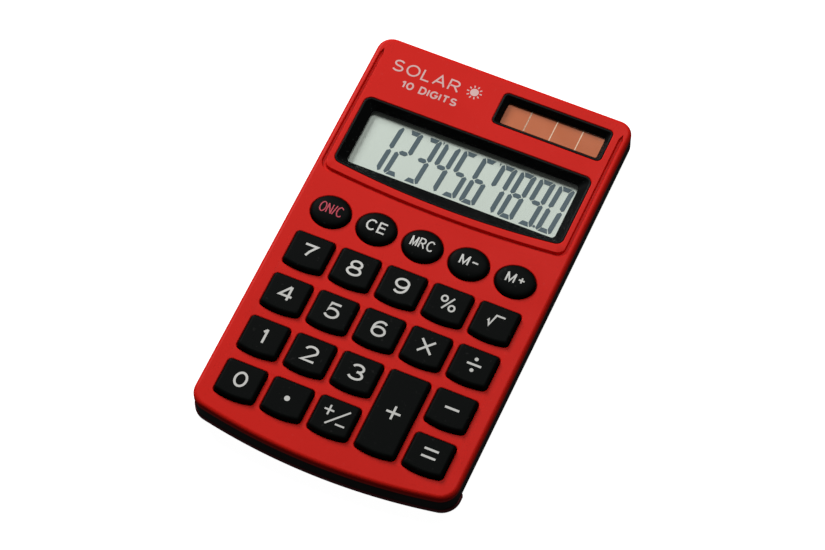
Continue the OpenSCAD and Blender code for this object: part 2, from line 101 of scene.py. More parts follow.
@dataclass(frozen=True)
class Crown:
    """An outline with straight sides and top and a lower edge that is a long arc.

    Attributes:
        width: full width.
        top: Y of the upper edge.
        low: Y of the crown of the lower edge.
        top_r: radius of the upper corners.
        low_r: radius of the lower corners.
        edge_r: radius of the lower edge.
        x: centre along X.
        least_r: corner radius that an inset never goes below.
        split: Y where both sides get an extra point, or None.
        corner_steps: chords in each corner.
        edge_steps: chords in the lower edge.
    """

    width: float
    top: float
    low: float
    top_r: float
    low_r: float
    edge_r: float
    x: float = 0.0
    least_r: float = 0.05
    split: float | None = None
    corner_steps: int = 10
    edge_steps: int = 28

    def at(self, inset: float = 0.0) -> list[Point]:
        """The outline moved inwards, clockwise from the upper right corner.

        Args:
            inset: how far it moves; below zero it grows.

        Returns:
            Its points, always as many for any inset.
        """
        half, up, down = self.width / 2 - inset, self.top - inset, self.low + inset
        rt = max(self.least_r, self.top_r - inset)
        rl = max(self.least_r, self.low_r - inset)
        re = self.edge_r - inset
        hub, cx = down + re, half - rl
        cy = hub - math.sqrt((re - rl) ** 2 - cx ** 2)
        lean = math.degrees(math.atan2(cx, hub - cy))
        n, m = self.corner_steps, self.edge_steps
        side = [] if self.split is None else [(half, self.split)]
        points = [
            *arc(half - rt, up - rt, rt, rt, 90, 0, n),
            *side,
            *arc(cx, cy, rl, rl, 0, lean - 90, n),
            *arc(0, hub, re, re, lean - 90 - lean / m, -90 - lean + lean / m, m),
            *arc(-cx, cy, rl, rl, -90 - lean, -180, n),
            *[(-px, py) for px, py in side],
            *arc(rt - half, up - rt, rt, rt, 180, 90, n),
        ]
        return [(px + self.x, py) for px, py in points]


@dataclass(frozen=True)
class Slab:
    """A rectangle with rounded corners, centred on (x, y)."""

    x: float
    y: float
    width: float
    height: float
    corner_r: float
    least_r: float = 0.05
    steps: int = 8

    def at(self, inset: float = 0.0) -> list[Point]:
        """The outline moved inwards by inset, clockwise from the upper right corner."""
        r = max(self.least_r, self.corner_r - inset)
        w, h = self.width / 2 - inset - r, self.height / 2 - inset - r
        corners = ((w, h, 90), (w, -h, 0), (-w, -h, -90), (-w, h, -180))
        return [p for cx, cy, a in corners for p in arc(self.x + cx, self.y + cy, r, r, a, a - 90, self.steps)]


@dataclass(frozen=True)
class Disc:
    """A circle or an ellipse centred on (x, y)."""

    x: float
    y: float
    rx: float
    ry: float
    steps: int = 72

    def at(self, inset: float = 0.0) -> list[Point]:
        """The outline moved inwards by inset."""
        return arc(self.x, self.y, self.rx - inset, self.ry - inset, 0, -360, self.steps)[:-1]


def rounded(width: float, height: float, steps: int = 6) -> list[Point]:
    """A rounded edge as (inset, drop) pairs, from the foot of the round to its top.

    Args:
        width: how far the round reaches inwards.
        height: how far it reaches down.
        steps: number of chords.

    Returns:
        The pairs, from (0, height) to (width, 0).
    """
    angles = (math.pi / 2 * i / steps for i in range(steps + 1))
    return [(width * (1 - math.cos(t)), height * (1 - math.sin(t))) for t in angles]


def inside(spots: np.ndarray, loops: Sequence[Sequence[Point]]) -> np.ndarray:
    """Tells which spots lie inside a set of loops, by the even-odd rule.

    Args:
        spots: an N by 2 array.
        loops: closed outlines.

    Returns:
        N truth values.
    """
    a = np.concatenate([np.array(loop, float) for loop in loops])
    b = np.concatenate([np.roll(np.array(loop, float), -1, axis=0) for loop in loops])
    x, y = spots[:, 0, None], spots[:, 1, None]
    spans = (a[:, 1] > y) != (b[:, 1] > y)
    rise = np.where(spans, b[:, 1] - a[:, 1], 1.0)
    meets = a[:, 0] + (y - a[:, 1]) * (b[:, 0] - a[:, 0]) / rise
    return (spans & (x < meets)).sum(axis=1) % 2 == 1


def triangles(loops: Sequence[Sequence[Point]]) -> tuple[np.ndarray, np.ndarray, list[list[int]]]:
    """Cuts the plane along some closed outlines.

    Args:
        loops: closed outlines, which may cross one another.

    Returns:
        The corners, the triangles as rows of three corners, and each corner's places in the input.
    """
    points = [Vector(p) for loop in loops for p in loop]
    edges, start = [], 0
    for loop in loops:
        count = len(loop)
        edges += [(start + i, start + (i + 1) % count) for i in range(count)]
        start += count
    flat, _, faces, origin, _, _ = geometry.delaunay_2d_cdt(points, edges, [], 0, 1e-6)
    return np.array([p[:] for p in flat]), np.array([f[:] for f in faces]), origin


# ---------- meshes ----------


class Shell:
    """A closed surface put together from rings, strips and flat covers."""

    def __init__(self) -> None:
        """Starts with nothing in it."""
        self.bm = bmesh.new()

    def ring(self, points: Sequence[Point], z: float) -> Ring:
        """Corners at height z."""
        return [self.bm.verts.new((x, y, z)) for x, y in points]

    def strip(self, a: Ring, b: Ring, closed: bool = True) -> None:
        """Joins two rings of equal count with quads.

        Args:
            a: one ring.
            b: the other.
            closed: whether the last corner joins the first.
        """
        for i in range(len(a) if closed else len(a) - 1):
            j = (i + 1) % len(a)
            self.bm.faces.new((a[i], a[j], b[j], b[i]))

    def loft(self, outline: Callable[[float], list[Point]], profile: Sequence[Point]) -> list[Ring]:
        """Rings along a profile, joined by strips.

        Args:
            outline: gives the outline for an inset.
            profile: (inset, z) pairs.

        Returns:
            The rings.
        """
        rings = [self.ring(outline(inset), z) for inset, z in profile]
        for a, b in zip(rings, rings[1:]):
            self.strip(a, b)
        return rings

    def cover(self, outer: Ring, holes: Sequence[Ring] = ()) -> None:
        """Closes a level area.

        Args:
            outer: its outline.
            holes: outlines that stay open.
        """
        rings = [outer, *holes]
        corners = [v for ring in rings for v in ring]
        loops = [[(v.co.x, v.co.y) for v in ring] for ring in rings]
        flat, faces, origin = triangles(loops)
        for face in faces[inside(flat[faces].mean(axis=1), loops)]:
            self.bm.faces.new([corners[origin[i][0]] for i in face])

    def bore(self, x: float, y: float, profile: Sequence[Point]) -> tuple[Ring, Ring]:
        """A round hole or post along a profile of (radius, z) pairs.

        Args:
            x: its axis along X.
            y: its axis along Y.
            profile: the pairs, in order.

        Returns:
            The first and the last ring.
        """
        rings = [self.ring(circle(x, y, r), z) for r, z in profile]
        for a, b in zip(rings, rings[1:]):
            self.strip(a, b)
        return rings[0], rings[-1]

    def mesh(self, name: str, crease: float = 38.0) -> bpy.types.Object:
        """Turns the shell into an object in metres, with smooth rounds and crisp edges.

        Args:
            name: the object's name.
            crease: angle in degrees above which an edge stays sharp.

        Returns:
            The object, which rides on nothing yet.
        """
        bmesh.ops.recalc_face_normals(self.bm, faces=self.bm.faces)
        data = bpy.data.meshes.new(name)
        self.bm.to_mesh(data)
        self.bm.free()
        data.transform(Matrix.Scale(MM, 4))
        return settle(data, name, crease)


def settle(data: bpy.types.Mesh, name: str, crease: float = 38.0) -> bpy.types.Object:
    """Gives a mesh its smooth shading, weighted by face area, and an object.

    Args:
        data: the mesh, in metres.
        name: the object's name.
        crease: angle in degrees above which an edge stays sharp.

    Returns:
        The object at the origin.
    """
    data.shade_smooth()
    data.set_sharp_from_angle(angle=math.radians(crease))
    obj = bpy.data.objects.new(name, data)
    bpy.context.scene.collection.objects.link(obj)
    weighting = obj.modifiers.new("weighting", "WEIGHTED_NORMAL")
    weighting.keep_sharp = True
    weighting.weight = 80
    obj.data = baked(obj)
    obj.modifiers.clear()
    bpy.data.meshes.remove(data)
    obj.data.name = name
    return obj


def baked(obj: bpy.types.Object) -> bpy.types.Mesh:
    """A plain mesh of the object with its modifiers applied."""
    evaluated = obj.evaluated_get(bpy.context.evaluated_depsgraph_get())
    return bpy.data.meshes.new_from_object(evaluated)


def joined(parts: Sequence[bpy.types.Mesh], name: str) -> bpy.types.Mesh:
    """Several meshes as one; their first material slot is kept.

    Args:
        parts: the meshes, which are removed.
        name: the new mesh's name.

    Returns:
        The new mesh.
    """
    bm = bmesh.new()
    for part in parts:
        bm.from_mesh(part)
        bpy.data.meshes.remove(part)
    data = bpy.data.meshes.new(name)
    bm.to_mesh(data)
    bm.free()
    return data


# ---------- finishes ----------


class Tree:
    """A node tree with short calls to add and join its nodes."""

    def __init__(self, tree: bpy.types.NodeTree) -> None:
        """Works on the given tree."""
        self.tree = tree

    def socket(self, name: str, kind: str, default: object = None, out: bool = False) -> None:
        """A named input or output of a node group.

        Args:
            name: the socket's name.
            kind: its type, such as Float.
            default: its first value, or None.
            out: whether it is an output.
        """
        side = "OUTPUT" if out else "INPUT"
        made = self.tree.interface.new_socket(name=name, in_out=side, socket_type=f"NodeSocket{kind}")
        if default is not None:
            made.default_value = default

    def add(self, kind: str, settings: dict[str, object] | None = None, **inputs: object) -> bpy.types.Node:
        """A node with its settings and inputs.

        Args:
            kind: the node's type.
            settings: the node's own properties.
            inputs: values or sockets by input name, with _ for a space.

        Returns:
            The node.
        """
        node = self.tree.nodes.new(kind)
        for key, value in (settings or {}).items():
            setattr(node, key, value)
        for key, value in inputs.items():
            self.feed(node, key.replace("_", " "), value)
        return node

    def feed(self, node: bpy.types.Node, key: str | int, value: object) -> None:
        """Gives an input a value, or a link if the value is a socket.

        Args:
            node: the node.
            key: the input's name or number.
            value: the value or the socket.
        """
        if isinstance(value, bpy.types.NodeSocket):
            self.tree.links.new(value, node.inputs[key])
        else:
            node.inputs[key].default_value = value

    def maths(self, operation: str, a: object, b: object) -> bpy.types.NodeSocket:
        """A sum of two numbers or sockets.

        Args:
            operation: the sum's name, such as MULTIPLY.
            a: the first number or socket.
            b: the second.

        Returns:
            The result's socket.
        """
        node = self.tree.nodes.new("ShaderNodeMath")
        node.operation = operation
        self.feed(node, 0, a)
        self.feed(node, 1, b)
        return node.outputs[0]


def grain_group() -> bpy.types.NodeTree:
    """The fine texture of a mould, as a height that two sizes of noise make up."""
    tree = Tree(bpy.data.node_groups.new("mould_grain", "ShaderNodeTree"))
    tree.socket("Vector", "Vector")
    tree.socket("Scale", "Float", 3000.0)
    tree.socket("Height", "Float", out=True)
    held = tree.add("NodeGroupInput")
    fine = tree.add("ShaderNodeTexNoise", Vector=held.outputs[0], Scale=held.outputs[1], Detail=2.0, Roughness=0.55)
    wide = tree.maths("MULTIPLY", held.outputs[1], 0.31)
    coarse = tree.add("ShaderNodeTexVoronoi", {"feature": "F1"}, Vector=held.outputs[0], Scale=wide)
    height = tree.maths("MULTIPLY_ADD", coarse.outputs["Distance"], 0.35)
    tree.feed(height.node, 2, fine.outputs["Fac"])
    tree.add("NodeGroupOutput", Height=height)
    return tree.tree


def handling_group() -> bpy.types.NodeTree:
    """The uneven film that handling leaves: soft clouds with fine specks of dust."""
    tree = Tree(bpy.data.node_groups.new("handling_film", "ShaderNodeTree"))
    tree.socket("Vector", "Vector")
    tree.socket("Cloud Scale", "Float", 60.0)
    tree.socket("Dust Scale", "Float", 900.0)
    tree.socket("Film", "Float", out=True)
    tree.socket("Dust", "Float", out=True)
    held = tree.add("NodeGroupInput")
    cloud = tree.add("ShaderNodeTexNoise", Vector=held.outputs[0], Scale=held.outputs[1], Detail=4.0, Distortion=0.6)
    film = tree.add("ShaderNodeMapRange", Value=cloud.outputs["Fac"], From_Min=0.34, From_Max=0.68)
    speck = tree.add("ShaderNodeTexNoise", Vector=held.outputs[0], Scale=held.outputs[2], Detail=1.0)
    dust = tree.add("ShaderNodeMapRange", Value=speck.outputs["Fac"], From_Min=0.70, From_Max=0.78)
    end = tree.add("NodeGroupOutput")
    tree.feed(end, 0, film.outputs[0])
    tree.feed(end, 1, dust.outputs[0])
    return tree.tree


DUST_COLOUR = (0.5, 0.48, 0.46, 1.0)
BRUSH_STRETCH = (1.0, 0.04, 1.0)
TRACK_CELLS = 260.0
TRACK_WIDTH = 0.09


class Pattern(Enum):
    """How a finish varies over its surface."""

    MOULDED = "moulded"
    BRUSHED = "brushed"
    TRACKS = "tracks"


@dataclass(frozen=True)
class Finish:
    """A surface finish, made into a material once.

    Attributes:
        name: the material's name.
        colour: its linear colour.
        drift: its linear colour where the film lies.
        roughness: least and greatest roughness.
        specular: strength of the plain reflection.
        metal: 1 for bare metal.
        grain: texture cells in a metre.
        depth: height of the texture.
        dust: how much the specks of dust lighten it.
        alpha: below 1 for a clear piece.
        coat: strength of a clear coat.
        pattern: how it varies.
    """

    name: str
    colour: Colour
    drift: Colour
    roughness: Point = (0.45, 0.55)
    specular: float = 0.5
    metal: float = 0.0
    grain: float = 3000.0
    depth: float = 0.004
    dust: float = 0.0
    alpha: float = 1.0
    coat: float = 0.0
    pattern: Pattern = Pattern.MOULDED

    def material(self) -> bpy.types.Material:
        """The material, which is built at its first use."""
        found = bpy.data.materials.get(f"{self.name}_finish")
        return found or self.build()

    def group(self, tree: Tree, name: str, make: Callable[[], bpy.types.NodeTree], vector: object) -> bpy.types.Node:
        """Places a shared node group in the material.

        Args:
            tree: the material's tree.
            name: the group's name.
            make: builds the group if nobody has yet.
            vector: the coordinates it reads.

        Returns:
            The group's node.
        """
        shared = bpy.data.node_groups.get(name) or make()
        return tree.add("ShaderNodeGroup", {"node_tree": shared}, Vector=vector)

    def build(self) -> bpy.types.Material:
        """Builds the material's nodes round one Principled shader."""
        made = bpy.data.materials.new(f"{self.name}_finish")
        made.use_nodes = True
        tree = Tree(made.node_tree)
        tree.tree.nodes.clear()
        place = tree.add("ShaderNodeTexCoord").outputs["Object"]
        stretch = BRUSH_STRETCH if self.pattern is Pattern.BRUSHED else (1.0, 1.0, 1.0)
        lay = tree.add("ShaderNodeMapping", Vector=place, Scale=stretch).outputs[0]
        grain = self.group(tree, "mould_grain", grain_group, lay)
        tree.feed(grain, "Scale", self.grain)
        film = self.group(tree, "handling_film", handling_group, place)
        mask = film.outputs["Film"]
        if self.pattern is Pattern.TRACKS:
            grid = {"feature": "DISTANCE_TO_EDGE", "distance": "MANHATTAN"}
            cells = tree.add("ShaderNodeTexVoronoi", grid, Vector=place, Scale=TRACK_CELLS)
            mask = tree.maths("LESS_THAN", cells.outputs["Distance"], TRACK_WIDTH)
        tone = tree.add("ShaderNodeMix", {"data_type": "RGBA"})
        tree.feed(tone, 0, mask)
        tree.feed(tone, 6, (*self.colour, 1.0))
        tree.feed(tone, 7, (*self.drift, 1.0))
        dusty = tree.add("ShaderNodeMix", {"data_type": "RGBA"})
        tree.feed(dusty, 0, tree.maths("MULTIPLY", film.outputs["Dust"], self.dust))
        tree.feed(dusty, 6, tone.outputs[2])
        tree.feed(dusty, 7, DUST_COLOUR)
        rough = tree.add(
            "ShaderNodeMapRange", Value=film.outputs["Film"], To_Min=self.roughness[0], To_Max=self.roughness[1]
        )
        bump = tree.add("ShaderNodeBump", Strength=1.0, Distance=self.depth * MM, Height=grain.outputs["Height"])
        skin = tree.add(
            "ShaderNodeBsdfPrincipled",
            Base_Color=dusty.outputs[2],
            Roughness=rough.outputs[0],
            Normal=bump.outputs[0],
            Metallic=self.metal,
            Specular_IOR_Level=self.specular,
            Coat_Weight=self.coat,
            Alpha=self.alpha,
        )
        tree.add("ShaderNodeOutputMaterial", Surface=skin.outputs[0])
        made.diffuse_color = (*self.colour, self.alpha)
        return made


FRONT_RED = Finish(
    "front_red", (0.615, 0.0128, 0.0076), (0.59, 0.0120, 0.0070),
    (0.38, 0.45), 0.05, grain=3600, depth=0.0022, dust=0.01
)
CASE_BLACK = Finish(
    "case_black", (0.0050, 0.0052, 0.0048), (0.007, 0.0072, 0.0068), (0.42, 0.52), 0.12,
    grain=2600, depth=0.006,
)
FOOT_RED = Finish("foot_red", (0.17, 0.016, 0.026), (0.15, 0.014, 0.023), (0.40, 0.5), 0.12, grain=2600, depth=0.005)
FRAME_BLACK = Finish(
    "frame_black", (0.0030, 0.0036, 0.0036), (0.004, 0.0046, 0.0046), (0.38, 0.46), 0.05,
    grain=4200, depth=0.003,
)
KEY_BLACK = Finish(
    "key_black", (0.0022, 0.0029, 0.0027), (0.0031, 0.0039, 0.0036), (0.46, 0.54), 0.022,
    grain=3400, depth=0.004, dust=0.015,
)
SILVER_INK = Finish("silver_ink", (0.60, 0.60, 0.57), (0.55, 0.55, 0.52), (0.45, 0.6), 0.3, grain=5200, depth=0.002)
FACE_INK = Finish("face_ink", (0.66, 0.42, 0.40), (0.60, 0.36, 0.34), (0.4, 0.5), 0.3, grain=5200, depth=0.002)
PINK_INK = Finish("pink_ink", (0.50, 0.030, 0.065), (0.45, 0.026, 0.055), (0.45, 0.6), 0.3, grain=5200, depth=0.002)
RUBBER = Finish(
    "foot_rubber", (0.035, 0.035, 0.038), (0.05, 0.05, 0.052), (0.7, 0.85), 0.25,
    grain=2200, depth=0.01, dust=0.15,
)
STEEL = Finish("screw_steel", (0.55, 0.55, 0.57), (0.48, 0.48, 0.5), (0.25, 0.4), 0.5, 1.0, grain=2400, depth=0.002)
CLEAR = Finish(
    "clear_window", (0.02, 0.024, 0.022), (0.03, 0.034, 0.032), (0.06, 0.12), 0.14,
    grain=900, depth=0.0003, alpha=0.04,
)
GLASS = Finish(
    "display_glass", (0.02, 0.026, 0.022), (0.03, 0.035, 0.03), (0.10, 0.16), 0.1,
    grain=1200, depth=0.0003, alpha=0.03,
)
BACKGROUND = Finish(
    "display_background", (0.80, 0.895, 0.805), (0.78, 0.875, 0.785), (0.6, 0.7), 0.2,
    grain=6000, depth=0.003,
)
SEGMENTS = Finish(
    "display_segments", (0.095, 0.145, 0.168), (0.105, 0.155, 0.178), (0.5, 0.6), 0.2,
    grain=5000, depth=0.001,
)
CELL = Finish("solar_strip", (0.60, 0.150, 0.045), (0.56, 0.136, 0.040), (0.35, 0.5), 0.2, grain=2500, depth=0.002)
DIVIDER = Finish("solar_divider", (0.86, 0.60, 0.40), (0.80, 0.55, 0.36), (0.3, 0.45), 0.4, grain=4000, depth=0.001)
LABEL = Finish(
    "label_silver", (0.55, 0.55, 0.56), (0.50, 0.50, 0.51), (0.3, 0.42), 0.5, 0.6,
    grain=2600, depth=0.003, pattern=Pattern.BRUSHED,
)
FOAM = Finish("foam", (0.03, 0.03, 0.034), (0.05, 0.05, 0.055), (0.85, 0.95), 0.1, grain=1500, depth=0.06)
ZEBRA = Finish(
    "zebra_rubber", (0.30, 0.12, 0.24), (0.24, 0.10, 0.20), (0.6, 0.7), 0.2,
    grain=3000, depth=0.01, pattern=Pattern.BRUSHED,
)
WIRE_RED = Finish("lead_red", (0.45, 0.02, 0.02), (0.38, 0.02, 0.02), (0.4, 0.5), 0.4, grain=2000, depth=0.004)
WIRE_BLACK = Finish("lead_black", (0.015, 0.015, 0.015), (0.02, 0.02, 0.02), (0.4, 0.5), 0.4, grain=2000, depth=0.004)
BOARD = Finish(
    "board_green", (0.015, 0.12, 0.045), (0.05, 0.22, 0.09), (0.35, 0.45), 0.4,
    grain=2600, depth=0.006, pattern=Pattern.TRACKS,
)
RESIN = Finish("chip_resin", (0.008, 0.008, 0.008), (0.012, 0.012, 0.012), (0.12, 0.25), 0.5, grain=600, depth=0.02)
CERAMIC = Finish("chip_ceramic", (0.35, 0.22, 0.10), (0.30, 0.19, 0.09), (0.5, 0.6), 0.4, grain=3000, depth=0.005)
CARBON = Finish("carbon", (0.02, 0.02, 0.02), (0.03, 0.03, 0.03), (0.5, 0.65), 0.3, grain=4000, depth=0.004)
MAT = Finish("mat_rubber", (0.10, 0.10, 0.11), (0.13, 0.13, 0.14), (0.6, 0.75), 0.25, grain=2000, depth=0.01, dust=0.1)
CELL_STEEL = Finish(
    "cell_steel", (0.6, 0.6, 0.6), (0.52, 0.52, 0.52), (0.22, 0.34), 0.5, 1.0,
    grain=2600, depth=0.002, pattern=Pattern.BRUSHED,
)
BRASS = Finish(
    "spring_brass", (0.62, 0.45, 0.16), (0.55, 0.38, 0.12), (0.25, 0.35), 0.5, 1.0,
    grain=2600, depth=0.002, pattern=Pattern.BRUSHED,
)

CAD_FINISHES: dict[str, Finish] = {
    "display_lens": CLEAR,
    "lcd_front_glass": GLASS,
    "lcd_segments": SEGMENTS,
    "lcd_rear_glass": BACKGROUND,
    "lcd_reflector": BACKGROUND,
    "lcd_pad": FOAM,
    "zebra_strip": ZEBRA,
    "solar_lens": CLEAR,
    "solar_cell": CELL,
    "solar_leads": WIRE_RED,
    "circuit_board": BOARD,
    "chip_blob": RESIN,
    "board_parts": CERAMIC,
    "contact_pads": CARBON,
    "rubber_mat": MAT,
    "battery_cell": CELL_STEEL,
    "battery_top_contact": BRASS,
    "battery_side_contact": BRASS,
    "battery_leads": WIRE_BLACK,
    "rear_label": LABEL,
}


def fit(obj: bpy.types.Object, finish: Finish, body: str, slot: str | None, *stands_for: str) -> bpy.types.Object:
    """Dresses a finished piece and fixes it to its body.

    Args:
        obj: the piece.
        finish: its finish.
        body: the body it moves with.
        slot: the name of a material slot, or None; not used.
        stands_for: the nodes it is shown instead of.

    Returns:
        The piece.
    """
    obj.data.materials.clear()
    obj.data.materials.append(finish.material())
    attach(obj, body)
    if stands_for:
        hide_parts(*stands_for)
    LOG.info("%s: %d faces, rides on %s", obj.name, len(obj.data.polygons), body)
    return obj


def span(node: str) -> tuple[Vector, Vector, Vector]:
    """A node's lowest corner, highest corner and middle, in millimetres."""
    low, high = (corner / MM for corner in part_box(node))
    return low, high, (low + high) / 2


# ---------- printed marks ----------


Strokes = list[list[Point]]


def swing(x: float, y: float, rx: float, ry: float, a: float, b: float) -> list[Point]:
    """An arc of a letter, with a chord for about every 12 degrees."""
    return arc(x, y, rx, ry, a, b, max(4, round(abs(b - a) / 12)))


SIX: Strokes = [[*swing(0.54, 0.52, 0.52, 0.48, 48, 180), (0.02, 0.31)], swing(0.5, 0.31, 0.48, 0.31, 90, 450)]

# Letter shapes on a square from (0, 0) to (1, 1), each with its width for a height of one.
LETTERS: dict[str, tuple[float, Strokes]] = {
    "0": (0.82, [swing(0.5, 0.5, 0.5, 0.5, 90, 450)]),
    "1": (0.38, [[(0.0, 0.76), (0.86, 0.97)], [(0.86, 1), (0.86, 0)]]),
    "2": (0.86, [[*swing(0.5, 0.71, 0.46, 0.29, 168, -28), (0.03, 0), (1, 0)]]),
    "3": (0.86, [swing(0.47, 0.75, 0.42, 0.25, 160, -90), swing(0.48, 0.26, 0.51, 0.26, 90, -160)]),
    "4": (0.92, [[(0.68, 1), (0, 0.29), (1, 0.29)], [(0.72, 1), (0.72, 0)]]),
    "5": (0.86, [[(0.92, 1), (0.2, 1), (0.09, 0.50), *swing(0.47, 0.32, 0.5, 0.32, 138, -155)]]),
    "6": (0.86, SIX),
    "7": (0.88, [[(0, 1), (1, 1), (0.56, 0.42), (0.38, 0)]]),
    "8": (0.86, [swing(0.5, 0.755, 0.40, 0.245, 90, 450), swing(0.5, 0.265, 0.5, 0.265, 90, 450)]),
    "9": (0.86, [[(1 - x, 1 - y) for x, y in stroke] for stroke in SIX]),
    "A": (0.92, [[(0, 0), (0.5, 1), (1, 0)], [(0.2, 0.34), (0.8, 0.34)]]),
    "C": (0.90, [swing(0.52, 0.5, 0.52, 0.5, 42, 318)]),
    "D": (0.82, [[(0, 0), (0, 1), *swing(0.48, 0.5, 0.52, 0.5, 90, -90), (0, 0)]]),
    "E": (0.72, [[(1, 1), (0, 1), (0, 0), (1, 0)], [(0, 0.52), (0.92, 0.52)]]),
    "G": (0.92, [[*swing(0.52, 0.5, 0.52, 0.5, 42, 320), (1, 0.46), (0.58, 0.46)]]),
    "I": (0.02, [[(0.5, 0), (0.5, 1)]]),
    "L": (0.62, [[(0, 1), (0, 0), (1, 0)]]),
    "M": (0.80, [[(0, 0), (0, 1)], [(0, 1), (0.5, 0.08), (1, 1)], [(1, 1), (1, 0)]]),
    "N": (0.78, [[(0, 0), (0, 1)], [(0, 1), (1, 0)], [(1, 0), (1, 1)]]),
    "O": (0.96, [swing(0.5, 0.5, 0.5, 0.5, 90, 450)]),
    "R": (0.80, [[(0, 0), (0, 1), *swing(0.5, 0.74, 0.42, 0.26, 90, -90), (0, 0.48)], [(0.5, 0.48), (1, 0)]]),
    "S": (0.80, [[*swing(0.5, 0.75, 0.43, 0.25, 30, 270), *swing(0.5, 0.25, 0.48, 0.25, 90, -150)[1:]]]),
    "T": (0.80, [[(0, 1), (1, 1)], [(0.5, 1), (0.5, 0)]]),
    "/": (0.36, [[(0, 0), (1, 1)]]),
    "+": (0.58, [[(0, 0.52), (1, 0.52)], [(0.5, 0.23), (0.5, 0.81)]]),
    "-": (0.58, [[(0, 0.52), (1, 0.52)]]),
    "plus": (1.0, [[(0, 0.5), (1, 0.5)], [(0.5, 0), (0.5, 1)]]),
    "minus": (1.0, [[(0, 0.5), (1, 0.5)]]),
    "equals": (1.0, [[(0, 0), (1, 0)], [(0, 1), (1, 1)]]),
    "times": (1.0, [[(0, 0), (1, 1)], [(0, 1), (1, 0)]]),
    "divide": (1.0, [[(0, 0.5), (1, 0.5)]]),
    " ": (0.30, []),
    "root": (1.0, [[(0, 0.34), (0.06, 0.46), (0.19, 0.0), (0.42, 1), (1, 1)]]),
    "percent": (
        1.0,
        [swing(0.18, 0.78, 0.18, 0.22, 90, 450), swing(0.82, 0.22, 0.18, 0.22, 90, 450), [(0.24, 0), (0.76, 1)]],
    ),
    "sign": (
        1.0,
        [[(0, 0.73), (0.39, 0.73)], [(0.195, 0.46), (0.195, 1)], [(0.25, 0), (0.98, 0.98)], [(0.63, 0.13), (1, 0.13)]],
    ),
    "point": (1.0, []),
}


@dataclass(frozen=True)
class Mark:
    """A printed word or sign.

    Attributes:
        signs: the names of its letters, in order.
        width: its full width.
        height: its full height.
        stroke: width of the lines.
        x: its middle along X.
        y: its middle along Y.
        dots: (x, y, radius) of any dots, from its middle.
        gap: space between letters, for a height of one.
    """

    signs: tuple[str, ...]
    width: float
    height: float
    stroke: float = 0.68
    x: float = 0.0
    y: float = 0.0
    dots: tuple[tuple[float, float, float], ...] = ()
    gap: float = 0.26

    def paths(self) -> Strokes:
        """The middle lines of all letters, in place."""
        widths = [LETTERS[s][0] for s in self.signs]
        total = sum(widths) + self.gap * (len(widths) - 1)
        wide, high = self.width - self.stroke, self.height - self.stroke
        left, made = 0.0, []
        for sign, w in zip(self.signs, widths):
            for stroke in LETTERS[sign][1]:
                made.append(
                    [
                        (self.x + wide * ((left + w * px) / total - 0.5), self.y + high * (py - 0.5))
                        for px, py in stroke
                    ]
                )
            left += w + self.gap
        return made

    def loops(self) -> list[list[list[Point]]]:
        """The outline of every stroke and dot: one loop, or two for a closed stroke."""
        made = [ribbon(path, self.stroke / 2) for path in self.paths()]
        return made + [[circle(self.x + x, self.y + y, r, 24)] for x, y, r in self.dots]


def ribbon(path: list[Point], half: float) -> list[list[Point]]:
    """The outline of a line of even width.

    Args:
        path: the line's corners; a path that ends where it starts is closed.
        half: half its width.

    Returns:
        One loop for an open path, and two for a closed one.
    """
    closed = math.dist(path[0], path[-1]) < 1e-6
    spots = [Vector(p) for p in (path[:-1] if closed else path)]
    count, left, right = len(spots), [], []
    for i, spot in enumerate(spots):
        before = spots[i - 1] if closed or i else None
        after = spots[(i + 1) % count] if closed or i < count - 1 else None
        ways = [(b - a).normalized() for a, b in ((before, spot), (spot, after)) if a is not None and b is not None]
        normals = [Vector((-w.y, w.x)) for w in ways]
        mitre = sum(normals, Vector((0.0, 0.0))).normalized()
        reach = mitre * min(half / max(mitre.dot(normals[0]), 0.2), half * 2.2)
        left.append(tuple(spot + reach))
        right.append(tuple(spot - reach))
    return [left, right] if closed else [left + right[::-1]]


